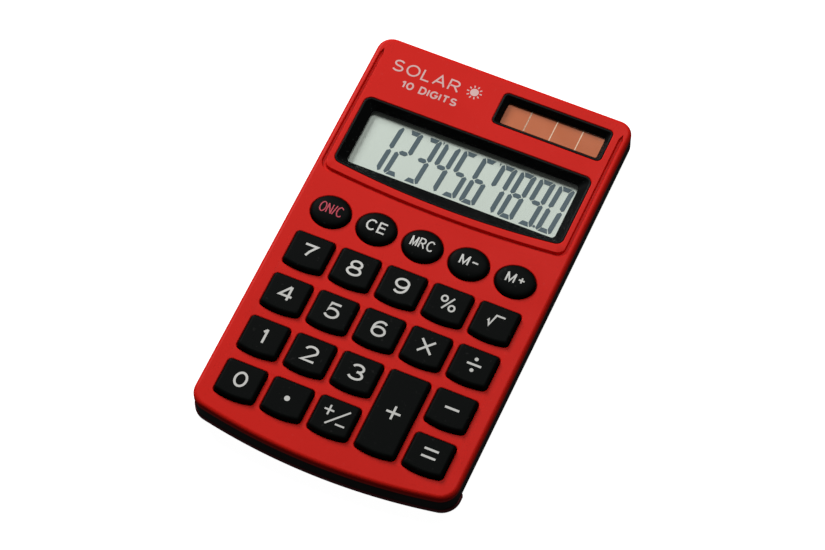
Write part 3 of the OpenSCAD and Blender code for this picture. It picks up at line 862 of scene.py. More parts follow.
class Print:
    """Ink laid on a surface as a thin closed film."""

    film: float = 0.03
    sunk: float = 0.03

    def __init__(self, marks: Sequence[Mark], height_at: Callable[[float, float], float], step: float = 0.0) -> None:
        """Takes what to print and where.

        Args:
            marks: the words and signs.
            height_at: height of the surface at (x, y).
            step: spacing of the cuts that let ink follow a curved surface, or 0 for a flat one.
        """
        self.marks, self.height_at, self.step = marks, height_at, step

    def flat(self) -> bmesh.types.BMesh:
        """All marks as level faces without overlaps."""
        bm = bmesh.new()
        for mark in self.marks:
            shapes = mark.loops()
            corners, faces, _ = triangles([loop for shape in shapes for loop in shape])
            middle = corners[faces].mean(axis=1)
            kept = faces[np.any([inside(middle, shape) for shape in shapes], axis=0)]
            verts = {i: bm.verts.new((*corners[i], 0.0)) for i in sorted(set(kept.ravel().tolist()))}
            for face in kept:
                bm.faces.new([verts[i] for i in face])
        bmesh.ops.dissolve_limit(bm, angle_limit=0.01, verts=bm.verts, edges=bm.edges)
        if self.step:
            self.slice(bm)
        bmesh.ops.triangulate(bm, faces=bm.faces)
        return bm

    def slice(self, bm: bmesh.types.BMesh) -> None:
        """Cuts the faces along a square net."""
        spots = np.array([v.co[:] for v in bm.verts])
        for axis in (0, 1):
            normal = Vector((axis == 0, axis == 1, 0))
            for at in np.arange(spots[:, axis].min() + self.step, spots[:, axis].max(), self.step):
                geom = [*bm.verts, *bm.edges, *bm.faces]
                bmesh.ops.bisect_plane(bm, geom=geom, dist=1e-5, plane_co=normal * float(at), plane_no=normal)

    def mesh(self, name: str) -> bpy.types.Object:
        """The ink as a piece."""
        flat, shell = self.flat(), Shell()
        levels = [
            {v: shell.bm.verts.new((v.co.x, v.co.y, self.height_at(v.co.x, v.co.y) + lift)) for v in flat.verts}
            for lift in (self.film, -self.sunk)
        ]
        top, low = levels
        for face in flat.faces:
            shell.bm.faces.new([top[v] for v in face.verts])
            shell.bm.faces.new([low[v] for v in reversed(face.verts)])
        for edge in flat.edges:
            if len(edge.link_faces) == 1:
                a, b = edge.verts
                shell.bm.faces.new((top[a], top[b], low[b], low[a]))
        flat.free()
        return shell.mesh(name)


# ---------- things that repeat ----------


class Repeats:
    """Geometry Nodes that lay out what repeats, each tree built once with named inputs."""

    def tree(self, name: str, inputs: Sequence[tuple[str, str]]) -> tuple[Tree, bpy.types.Node]:
        """A new tree with its inputs and a Geometry output.

        Args:
            name: the tree's name.
            inputs: name and type of every input after Geometry.

        Returns:
            The tree and its input node.
        """
        tree = Tree(bpy.data.node_groups.new(name, "GeometryNodeTree"))
        tree.socket("Geometry", "Geometry")
        for title, kind in inputs:
            tree.socket(title, kind)
        tree.socket("Geometry", "Geometry", out=True)
        return tree, tree.add("NodeGroupInput")

    def close(self, tree: Tree, shape: bpy.types.NodeSocket, held: bpy.types.Node) -> None:
        """Ends a tree in Realize Instances and Set Material.

        Args:
            tree: the tree.
            shape: what it has made.
            held: its input node, which has a Material socket.
        """
        real = tree.add("GeometryNodeRealizeInstances", Geometry=shape)
        dressed = tree.add("GeometryNodeSetMaterial", Geometry=real.outputs[0], Material=held.outputs["Material"])
        tree.add("NodeGroupOutput", Geometry=dressed.outputs[0])

    def row_of_bars(self) -> bpy.types.NodeTree:
        """Soft-edged bars side by side along a step."""
        tree, held = self.tree(
            "row_of_bars",
            [
                ("Count", "Int"),
                ("First", "Vector"),
                ("Step", "Vector"),
                ("Bar Size", "Vector"),
                ("Material", "Material"),
            ],
        )
        line = tree.add(
            "GeometryNodeMeshLine",
            Count=held.outputs["Count"],
            Start_Location=held.outputs["First"],
            Offset=held.outputs["Step"],
        )
        bar = tree.add("GeometryNodeMeshCube", Size=held.outputs["Bar Size"])
        soft = tree.add("GeometryNodeSubdivisionSurface", Mesh=bar.outputs["Mesh"], Level=3, Edge_Crease=0.72)
        spread = tree.add("GeometryNodeInstanceOnPoints", Points=line.outputs[0], Instance=soft.outputs[0])
        self.close(tree, spread.outputs[0], held)
        return tree.tree

    def set_on_points(self) -> bpy.types.NodeTree:
        """One turned part set on every point of a mesh."""
        tree, held = self.tree("set_on_points", [("Part", "Object"), ("Turn Step", "Float"), ("Material", "Material")])
        part = tree.add("GeometryNodeObjectInfo", Object=held.outputs["Part"])
        index = tree.add("GeometryNodeInputIndex")
        turn = tree.add("ShaderNodeCombineXYZ", Z=tree.maths("MULTIPLY", index.outputs[0], held.outputs["Turn Step"]))
        spread = tree.add(
            "GeometryNodeInstanceOnPoints",
            Points=held.outputs["Geometry"],
            Instance=part.outputs["Geometry"],
            Rotation=turn.outputs[0],
        )
        self.close(tree, spread.outputs[0], held)
        return tree.tree

    def ray_wheel(self) -> bpy.types.NodeTree:
        """A disc with short rays round it."""
        tree, held = self.tree(
            "ray_wheel",
            [
                ("Rays", "Int"),
                ("Centre", "Vector"),
                ("Disc Radius", "Float"),
                ("Ray Radius", "Float"),
                ("Ray Size", "Vector"),
                ("Thickness", "Float"),
                ("Material", "Material"),
            ],
        )
        wheel = tree.add("GeometryNodeMeshCircle", Vertices=held.outputs["Rays"], Radius=held.outputs["Ray Radius"])
        where = tree.add("GeometryNodeInputPosition")
        aim = tree.add("FunctionNodeAlignRotationToVector", {"axis": "X"}, Vector=where.outputs[0])
        ray = tree.add("GeometryNodeMeshCube", Size=held.outputs["Ray Size"])
        spread = tree.add(
            "GeometryNodeInstanceOnPoints",
            Points=wheel.outputs[0],
            Instance=ray.outputs["Mesh"],
            Rotation=aim.outputs[0],
        )
        disc = tree.add(
            "GeometryNodeMeshCylinder",
            Vertices=48,
            Radius=held.outputs["Disc Radius"],
            Depth=held.outputs["Thickness"],
        )
        both = tree.add("GeometryNodeJoinGeometry")
        tree.feed(both, 0, spread.outputs[0])
        tree.feed(both, 0, disc.outputs["Mesh"])
        placed = tree.add("GeometryNodeTransform", Geometry=both.outputs[0], Translation=held.outputs["Centre"])
        self.close(tree, placed.outputs[0], held)
        return tree.tree

    def grow(self, name: str, points: Sequence[Vector], **inputs: object) -> bpy.types.Mesh:
        """Runs a tree and returns what it made.

        Args:
            name: the method that builds the tree.
            points: corners of the mesh that the tree starts from, in metres.
            inputs: values by input name, with _ for a space.

        Returns:
            A plain mesh.
        """
        tree = bpy.data.node_groups.get(name) or getattr(self, name)()
        seed = bpy.data.meshes.new("seed")
        seed.from_pydata([tuple(p) for p in points], [], [])
        holder = bpy.data.objects.new("seed", seed)
        bpy.context.scene.collection.objects.link(holder)
        modifier = holder.modifiers.new(name, "NODES")
        modifier.node_group = tree
        sockets = {s.name: s.identifier for s in tree.interface.items_tree if s.in_out == "INPUT"}
        for key, value in inputs.items():
            modifier[sockets[key.replace("_", " ")]] = value
        made = baked(holder)
        bpy.data.objects.remove(holder)
        bpy.data.meshes.remove(seed)
        return made


REPEATS = Repeats()


# ---------- sub-assemblies ----------


class KeyForm(Enum):
    """The two plan shapes of a key; a tall key is a longer square one."""

    OVAL = "oval"
    SQUARE = "square"


@dataclass
class KeyCap:
    """One key with its flange, rounded top and printed legend.

    Attributes:
        node: the node it stands for.
        form: its plan shape.
        mark: its legend, placed from the key's middle.
        ink: the legend's finish.
    """

    node: str
    form: KeyForm
    mark: Mark
    ink: Finish = SILVER_INK
    flange_out: float = 0.5
    flange_t: float = 0.75
    gap: float = 0.38
    corner_r: float = 1.2
    edge_r: float = 20.0
    round_w: float = 0.85
    round_h: float = 0.6
    dome_h: float = 0.9
    dome_power: float = 2.5
    least_r: float = 0.65
    ink_step: float = 0.55

    def __post_init__(self) -> None:
        """Reads the key's place from the frame."""
        low, high, self.middle = span(self.node)
        self.z0, self.z1 = low.z, high.z
        self.w = high.x - low.x - 2 * self.flange_out
        self.l = high.y - low.y - 2 * self.flange_out

    @property
    def body(self) -> str:
        """The body that this key is."""
        return f"{self.node}_cap"

    def outline(self) -> Crown | Disc:
        """The outline of the key's opening."""
        x, y = self.middle.x, self.middle.y
        if self.form is KeyForm.OVAL:
            return Disc(x, y, self.w / 2, self.l / 2)
        r = self.corner_r
        return Crown(self.w, y + self.l / 2, y - self.l / 2, r, r, self.edge_r, x, self.least_r, None, 8, 16)

    def height_at(self, x: float, y: float) -> float:
        """Height of the key's top at a point.

        Args:
            x: the point along X.
            y: the point along Y.

        Returns:
            The height above the table.
        """
        if self.form is KeyForm.SQUARE:
            return self.z1
        a, b = self.w / 2 - self.gap, self.l / 2 - self.gap
        share = min(1.0, math.hypot((x - self.middle.x) / a, (y - self.middle.y) / b))
        rise = (1 - share ** self.dome_power) ** (1 / self.dome_power)
        return self.z1 - self.dome_h * (1 - rise)

    def build(self) -> None:
        """Makes the cap and its legend."""
        shell = Shell()
        outline = self.outline()
        flange_top = self.z0 + self.flange_t
        profile = [(-self.flange_out, self.z0), (-self.flange_out, flange_top), (self.gap, flange_top)]
        if self.form is KeyForm.SQUARE:
            profile += [(self.gap + i, self.z1 - drop) for i, drop in rounded(self.round_w, self.round_h, 7)]
            rings = shell.loft(outline.at, profile)
        else:
            rings = shell.loft(outline.at, profile)
            a, b = self.w / 2 - self.gap, self.l / 2 - self.gap
            for turn in range(0, 90, 6):
                share = math.cos(math.radians(turn))
                ring = Disc(self.middle.x, self.middle.y, a * share, b * share).at()
                z = self.height_at(self.middle.x + a * share, self.middle.y)
                rings.append(shell.ring(ring, z))
                shell.strip(rings[-2], rings[-1])
        shell.cover(rings[0])
        shell.cover(rings[-1])
        fit(shell.mesh(f"{self.node}_piece"), KEY_BLACK, self.body, "key_black", self.node)
        mark = Mark(
            self.mark.signs,
            self.mark.width,
            self.mark.height,
            self.mark.stroke,
            self.middle.x + self.mark.x,
            self.middle.y + self.mark.y,
            self.mark.dots,
            self.mark.gap,
        )
        step = self.ink_step if self.form is KeyForm.OVAL else 0.0
        ink = Print([mark], self.height_at, step).mesh(f"{self.node}_legend")
        fit(ink, self.ink, self.body, None)


@dataclass
class KeySet:
    """All 24 keys with their legends."""

    oval_lift: float = 0.25
    square_lift: float = 0.25
    caps: list[KeyCap] = field(default_factory=list)

    def __post_init__(self) -> None:
        """Lists the keys."""
        lift = self.oval_lift
        ovals = (
            ("key_on_clear", Mark(("O", "N", "/", "C"), 6.35, 3.05, 0.32, 0.1, lift, gap=0.27), PINK_INK),
            ("key_ce", Mark(("C", "E"), 5.45, 3.2, 0.46, 0.0, lift - 0.1, gap=0.34), SILVER_INK),
            ("key_mrc", Mark(("M", "R", "C"), 6.3, 3.05, 0.38, 0.0, lift, gap=0.36), SILVER_INK),
            ("key_m_minus", Mark(("M", "-"), 5.0, 3.0, 0.42, 0.1, lift, gap=0.4), SILVER_INK),
            ("key_m_plus", Mark(("M", "+"), 5.0, 3.0, 0.42, 0.0, lift, gap=0.42), SILVER_INK),
        )
        self.caps = [KeyCap(node, KeyForm.OVAL, mark, ink) for node, mark, ink in ovals]
        widths = {"1": 1.45, "7": 3.75, "4": 3.9, "0": 3.5}
        heights = {"7": 3.7, "0": 4.3}
        up = self.square_lift
        squares = {
            f"key_{d}": Mark((d,), widths.get(d, 4.0), heights.get(d, 4.5), 0.6, 0.1, up) for d in "0123456789"
        }
        squares |= {
            "key_percent": Mark(("percent",), 4.6, 4.05, 0.46, 0.1, up + 0.08),
            "key_root": Mark(("root",), 4.4, 3.6, 0.48, 0.2, up + 0.18),
            "key_multiply": Mark(("times",), 4.1, 4.15, 0.58, 0.1, up + 0.1),
            "key_divide": Mark(("divide",), 4.3, 4.0, 0.58, 0.2, up + 0.15, ((0, 1.58, 0.5), (0, -1.58, 0.5))),
            "key_minus": Mark(("minus",), 4.3, 1.0, 0.6, 0.2, up + 0.1),
            "key_plus": Mark(("plus",), 4.3, 4.3, 0.58, 0.2, up),
            "key_equals": Mark(("equals",), 4.3, 2.64, 0.58, 0.2, up + 0.08),
            "key_point": Mark(("point",), 1.0, 1.0, 0.5, 0.1, 0.08, ((0, 0, 0.72),)),
            "key_sign": Mark(("sign",), 7.0, 5.5, 0.46, 0.25, up),
        }
        self.caps += [KeyCap(node, KeyForm.SQUARE, mark) for node, mark in squares.items()]

    def build(self) -> None:
        """Makes every key."""
        for cap in self.caps:
            cap.build()


@dataclass
class Openings:
    """The openings that the front and its frames share."""

    window: Crown = Crown(62.4, 40.2, 17.4, 2, 2, 230)
    view: Crown = Crown(56.8, 37.95, 21.45, 1, 1, 20000)
    lens_seat: Crown = Crown(58.0, 38.55, 20.85, 1, 1, 20000)
    solar: Slab = Slab(15.75, 50.2, 29.9, 9.7, 1.3, 0.4)
    solar_view: Slab = Slab(15.75, 50.2, 26.5, 6.3, 0.5, 0.2)
    solar_seat: Slab = Slab(15.75, 50.2, 27.5, 7.3, 0.5, 0.2)


@dataclass
class FrontCover:
    """The red front: rounded edge, key openings, two windows, a panel line and screw posts."""

    keys: KeySet
    openings: Openings
    edge_round: float = 1.2
    plate_t: float = 1.4
    rim: float = 0.3
    seam: float = 0.14
    lip_in: float = 1.6
    lip_t: float = 0.7
    lip_low: float = 5.0
    post_r: float = 1.6
    pilot_r: float = 0.81
    pilot_depth: float = 1.5
    panel: Crown = Crown(67.1, 67.6, 14.4, 1, 3, 300)
    groove_w: float = 1.0
    groove_depth: float = 0.8
    groove_tip: float = 1.6
    groove_top: float = 55.0
    parting: float = 6.2
    post_sunk: float = 0.3
    posts: tuple[Point, ...] = LOW_SCREWS + HIGH_SCREWS

    def groove_loop(self, inset: float) -> list[Point]:
        """The panel line as one closed band, pointed at its ends.

        Args:
            inset: how far it is narrowed on all sides.

        Returns:
            Its points.
        """
        top = self.groove_top - inset
        low = top - self.groove_tip
        outer = self.panel.at(inset)
        inner = self.panel.at(self.groove_w - inset)
        n = self.panel.corner_steps + 1
        down = outer[n:-n]
        back = inner[n:-n][::-1]
        tips = [((a[0] + b[0]) / 2, top) for a, b in ((down[-1], back[0]), (back[-1], down[0]))]
        outside = [(down[0][0], low), *down, (down[-1][0], low)]
        return [*outside, tips[0], (back[0][0], low), *back, (back[-1][0], low), tips[1]]

    def build(self) -> None:
        """Makes the front as one closed shell."""
        low, high, _ = span("front_cover")
        face, plate = high.z, high.z - self.plate_t
        outline = Crown(high.x - low.x, high.y, low.y, TOP_R, LOW_R, EDGE_R)
        shell = Shell()
        inner = self.lip_in + self.lip_t
        parting = self.parting
        profile = [
            (inner, plate), (inner, self.lip_low), (self.lip_in, self.lip_low), (self.lip_in, parting),
            (self.seam, parting), (self.seam * 0.3, parting + self.seam * 0.3), (0, parting + self.seam),
        ]
        profile += [(i, face - drop) for i, drop in rounded(self.edge_round, self.edge_round, 10)]
        rings = shell.loft(outline.at, profile)
        above, below = [], []
        shapes = [cap.outline() for cap in self.keys.caps] + [self.openings.window, self.openings.solar]
        for shape in shapes:
            cut = shell.loft(shape.at, [(0, plate), *[(-i, z) for i, z in self.rim_profile(face)]])
            below.append(cut[0])
            above.append(cut[-1])
        above.append(self.build_groove(shell, face))
        for x, y in self.posts:
            root, outer, pilot = plate + self.post_sunk, self.post_r, self.pilot_r
            deep = self.lip_low + self.pilot_depth
            head, end = shell.bore(x, y, [(outer, root), (outer, self.lip_low), (pilot, self.lip_low), (pilot, deep)])
            shell.cover(head)
            shell.cover(end)
        shell.cover(rings[-1], above)
        shell.cover(rings[0], below)
        bmesh.ops.remove_doubles(shell.bm, verts=shell.bm.verts, dist=1e-5)
        fit(shell.mesh("front_cover_piece"), FRONT_RED, HOUSING, "front_red", "front_cover")

    def rim_profile(self, face: float) -> list[Point]:
        """The rounded rim of an opening as (growth, z) pairs, from the wall up to the face."""
        return [(i, face - drop) for i, drop in rounded(self.rim, self.rim, 4)]

    def build_groove(self, shell: Shell, face: float) -> Ring:
        """The panel line, with soft edges and a rounded floor.

        Args:
            shell: the front's shell.
            face: height of the face.

        Returns:
            The ring where the groove meets the face.
        """
        depth = self.groove_depth
        edge = ((-0.16, 0.0), (-0.09, 0.02), (-0.02, 0.09), (0.02, 0.2))
        steps = (*edge, (0.06, depth - 0.2), (0.14, depth - 0.05), (0.26, depth))
        rings = [shell.ring(self.groove_loop(inset), face - drop) for inset, drop in steps]
        for a, b in zip(rings, rings[1:]):
            shell.strip(a, b)
        shell.cover(rings[-1])
        return rings[0]


@dataclass
class RearCover:
    """The black tray: rounded underside, rebate for the foot bar, bosses and recesses."""

    wall: float = 1.5
    step_in: float = 0.07
    low_round: float = 0.8
    bar_y: float = -49.6
    bar_top: float = 2.0
    floor: float = 2.2
    raised: float = 3.0
    boss_r: float = 2.1
    low_boss_r: float = 1.7
    boss_top: float = 4.98
    head_r: float = HEAD_HOLE_R
    screw_r: float = SHANK_HOLE_R
    seat: float = 3.0
    well_top: float = 4.4
    well_rib: Slab = Slab(-20.4, 49.4, 3.2, 2, 0.15)
    hatch: Slab = Slab(-12, 47.85, 18, 17.1, 0.3)
    label: Slab = Slab(0, -22, 34, 16, 0.4)
    low_screws: tuple[Point, ...] = LOW_SCREWS
    high_screws: tuple[Point, ...] = HIGH_SCREWS
    feet: tuple[Point, ...] = ((-27, 51), (27, 51))
    foot_r: float = 3.55
    foot_deep: float = 0.4
    label_deep: float = 0.2
    well_r: Point = (6.0, 7.2)
    door_post_r: Point = (0.81, 1.8)

    def build(self) -> None:
        """Makes the tray as one closed shell, with the battery well inside it."""
        low, high, _ = span("rear_cover")
        outline = Crown(high.x - low.x, high.y, low.y, TOP_R, LOW_R, EDGE_R, split=self.bar_y)
        n = outline.corner_steps + 1
        self.first, self.last = n, len(outline.at()) - n - 1
        shell = Shell()
        top = high.z - 0.02
        rings = shell.loft(
            outline.at,
            [
                (self.wall, self.raised), (self.wall, top), (self.step_in + 0.16, top),
                (self.step_in + 0.04, top - 0.05), (self.step_in, top - 0.16), (self.step_in, self.bar_top),
            ],
        )
        under = self.build_underside(shell, outline, rings[-1], low.z)
        inside_low = self.build_floor(shell, outline, rings[0])
        self.build_bosses(shell, under, inside_low, low.z)
        self.build_well(shell)
        fit(shell.mesh("rear_cover_piece"), CASE_BLACK, HOUSING, "case_black", "rear_cover")

    def upper(self, ring: Ring) -> Ring:
        """The part of a full ring above the rebate, from left to right over the top."""
        return ring[self.last :] + ring[: self.first + 1]

    def lower(self, ring: Ring) -> Ring:
        """The part of a full ring below the rebate, from right to left."""
        return ring[self.first : self.last + 1]

    def build_underside(self, shell: Shell, outline: Crown, rim: Ring, z0: float) -> dict[str, Ring]:
        """The rounded lower edge and the step at the rebate.

        Args:
            shell: the tray's shell.
            outline: its outline.
            rim: the full outer ring at the rebate's height.
            z0: height of the underside.

        Returns:
            The outlines of the underside and of the rebate, by name.
        """
        before = self.upper(rim)
        rights, lefts = [before[-1]], [before[0]]
        for inset, drop in rounded(self.low_round, self.bar_top - z0, 6)[1:]:
            full = outline.at(self.step_in + inset)
            points = full[self.last :] + full[: self.first + 1]
            ring = shell.ring(points, z0 + drop)
            shell.strip(before, ring, closed=False)
            before = ring
            rights.append(ring[-1])
            lefts.append(ring[0])
        shell.bm.faces.new(rights + lefts[::-1])
        return {"under": before, "rebate": self.lower(rim)}

    def build_floor(self, shell: Shell, outline: Crown, ring: Ring) -> dict[str, Ring]:
        """The inner floor, which steps up over the foot bar.

        Args:
            shell: the tray's shell.
            outline: its outline.
            ring: the inner ring at the raised floor's height.

        Returns:
            The outlines of the floor and of the raised floor, by name.
        """
        full = outline.at(self.wall)
        floor = shell.ring(full[self.last :] + full[: self.first + 1], self.floor)
        above = self.upper(ring)
        shell.strip(above, floor, closed=False)
        shell.bm.faces.new((above[-1], floor[-1], floor[0], above[0]))
        return {"floor": floor, "raised": self.lower(ring)}

    def build_bosses(self, shell: Shell, under: dict[str, Ring], over: dict[str, Ring], z0: float) -> None:
        """Bosses, counterbores, the hatch and the shallow recesses, with the areas round them.

        Args:
            shell: the tray's shell.
            under: the outlines from below.
            over: the outlines from inside.
            z0: height of the underside.
        """
        holes: dict[str, list[Ring]] = {"under": [], "rebate": [], "floor": [], "raised": []}
        head, hole, boss, top = self.head_r, self.screw_r, self.boss_r, self.boss_top
        for x, y in self.high_screws:
            first, last = shell.bore(
                x, y, [(head, z0), (head, self.seat), (hole, self.seat), (hole, top), (boss, top), (boss, self.floor)]
            )
            holes["under"].append(first)
            holes["floor"].append(last)
        for x, y in self.low_screws:
            boss = self.low_boss_r
            first, last = shell.bore(x, y, [(hole, self.bar_top), (hole, top), (boss, top), (boss, self.raised)])
            holes["rebate"].append(first)
            holes["raised"].append(last)
        hatch = shell.loft(self.hatch.at, [(0, z0), (0, self.floor)])
        holes["under"].append(hatch[0])
        holes["floor"].append(hatch[-1])
        label = shell.loft(self.label.at, [(0, z0), (0, z0 + self.label_deep)])
        shell.cover(label[-1])
        holes["under"].append(label[0])
        for x, y in self.feet:
            first, last = shell.bore(x, y, [(self.foot_r, z0), (self.foot_r, z0 + self.foot_deep)])
            shell.cover(last)
            holes["under"].append(first)
        for name, outer in (*under.items(), *over.items()):
            shell.cover(outer, holes[name])

    def build_well(self, shell: Shell) -> None:
        """The ring that holds the button cell, and the post for the door's screw."""
        for x, y, inner, outer in ((*CELL_PLACE, *self.well_r), (*DOOR_SCREW, *self.door_post_r)):
            rings = [(inner, self.floor), (outer, self.floor), (outer, self.well_top), (inner, self.well_top)]
            first, last = shell.bore(x, y, rings)
            shell.strip(last, first)
        rib = shell.loft(self.well_rib.at, [(0, self.floor - 0.1), (0, self.well_top - 0.1), (0.1, self.well_top)])
        shell.cover(rib[0])
        shell.cover(rib[-1])


@dataclass
class FootBar:
    """The dark red bar across the lower end of the underside."""

    low_round: float = 0.55
    top_round: float = 0.15
    top_r: float = 0.35
    screws: tuple[Point, ...] = LOW_SCREWS
    head_r: float = HEAD_HOLE_R
    screw_r: float = SHANK_HOLE_R
    seat: float = 1.2

    def build(self) -> None:
        """Makes the bar as one closed shell with two counterbored holes."""
        low, high, _ = span("foot_bar")
        outline = Crown(high.x - low.x, high.y, low.y, self.top_r, LOW_R, EDGE_R)
        shell = Shell()
        profile = [(i, low.z + drop) for i, drop in reversed(rounded(self.low_round, self.low_round, 6))]
        profile += [(i, high.z - drop) for i, drop in rounded(self.top_round, self.top_round, 3)]
        rings = shell.loft(outline.at, profile)
        head, hole, seat = self.head_r, self.screw_r, self.seat
        steps = [(head, low.z), (head, seat), (hole, seat), (hole, high.z)]
        bores = [shell.bore(x, y, steps) for x, y in self.screws]
        shell.cover(rings[0], [first for first, _ in bores])
        shell.cover(rings[-1], [last for _, last in bores])
        fit(shell.mesh("foot_bar_piece"), FOOT_RED, HOUSING, "foot_red", "foot_bar")


@dataclass
class Frames:
    """The black frames round the display and the solar strip."""

    openings: Openings
    lip: float = 0.42
    lip_round: float = 0.16
    flange: float = 1.1
    solar_flange: float = 0.7
    gap: float = 0.03
    display_roof: float = 6.25
    solar_roof: float = 6.4
    flange_low: float = 6.1
    flange_top: float = 6.8

    def frame(
        self, node: str, outer: Crown | Slab, view: Crown | Slab, seat: Crown | Slab, flange: float, seat_top: float
    ) -> None:
        """One frame as a closed ring.

        Args:
            node: the node it stands for.
            outer: outline of the window in the front.
            view: outline of what shows.
            seat: outline of the pocket for the clear window.
            flange: how far the flange stands out.
            seat_top: height of the pocket's roof.
        """
        low, high, _ = span(node)
        top, gap, lip = high.z, self.gap, self.lip
        shell = Shell()
        outside = [
            (gap, low.z), (gap, self.flange_low), (-flange, self.flange_low), (-flange, self.flange_top),
            (gap, self.flange_top),
        ]
        outside += [(gap + i, top - drop) for i, drop in rounded(self.lip_round, self.lip_round, 4)]
        crest = [(gap + self.lip_round + lip * 0.5, top), (lip + 0.1, top - 0.03), (lip + 0.22, top - 0.14)]
        rings = shell.loft(outer.at, outside + crest)
        walls = shell.loft(view.at, [(-0.10, seat_top + 0.10), (-0.03, seat_top + 0.03), (0.0, seat_top)])
        pocket = shell.loft(seat.at, [(0.0, seat_top), (0.0, low.z)])
        shell.strip(rings[-1], walls[0])
        shell.strip(walls[-1], pocket[0])
        shell.strip(pocket[-1], rings[0])
        fit(shell.mesh(f"{node}_piece", 50), FRAME_BLACK, HOUSING, "frame_black", node)

    def build(self) -> None:
        """Makes both frames."""
        o = self.openings
        self.frame("display_bezel", o.window, o.view, o.lens_seat, self.flange, self.display_roof)
        self.frame("solar_bezel", o.solar, o.solar_view, o.solar_seat, self.solar_flange, self.solar_roof)


@dataclass
class SolarStrip:
    """The light lines that part the solar strip into four cells."""

    line_w: float = 0.28
    line_t: float = 0.04
    line_short: float = 0.4
    places: tuple[float, ...] = (8.93, 15.98, 23.03)

    def build(self) -> None:
        """Lays the lines on the strip."""
        low, high, middle = span("solar_cell")
        step = self.places[1] - self.places[0]
        mesh = REPEATS.grow(
            "row_of_bars",
            [],
            Count=len(self.places),
            First=Vector((self.places[0], middle.y, high.z)) * MM,
            Step=Vector((step, 0, 0)) * MM,
            Bar_Size=Vector((self.line_w, high.y - low.y - self.line_short, self.line_t)) * MM,
            Material=DIVIDER.material(),
        )
        fit(settle(mesh, "solar_lines"), DIVIDER, HOUSING, "solar_strip")


@dataclass
class FacePrint:
    """The plain words and the sun mark printed at the top left of the face."""

    word: Mark = Mark(("S", "O", "L", "A", "R"), 18.6, 3.5, 0.46, -19.6, 51.5, gap=0.34)
    line: Mark = Mark(
        ("1", "0", " ", "D", "I", "G", "I", "T", "S"), 15.4, 2.3, 0.46, -16.9, 46.9, gap=0.40
    )
    sun_x: float = -6.4
    sun_y: float = 51.7
    rays: int = 10
    disc_r: float = 1.12
    ray_r: float = 1.72
    ray_size: tuple[float, float] = (0.62, 0.34)

    def build(self) -> None:
        """Prints the words and the mark on the face."""
        face = span("front_cover")[1].z
        words = Print([self.word, self.line], lambda x, y: face).mesh("face_words")
        fit(words, FACE_INK, HOUSING, "label_silver")
        film = Print.film + Print.sunk
        mesh = REPEATS.grow(
            "ray_wheel",
            [],
            Rays=self.rays,
            Centre=Vector((self.sun_x, self.sun_y, face)) * MM,
            Disc_Radius=self.disc_r * MM,
            Ray_Radius=self.ray_r * MM,
            Ray_Size=Vector((*self.ray_size, film)) * MM,
            Thickness=film * MM,
            Material=FACE_INK.material(),
        )
        fit(settle(mesh, "face_sun"), FACE_INK, HOUSING, "label_silver")


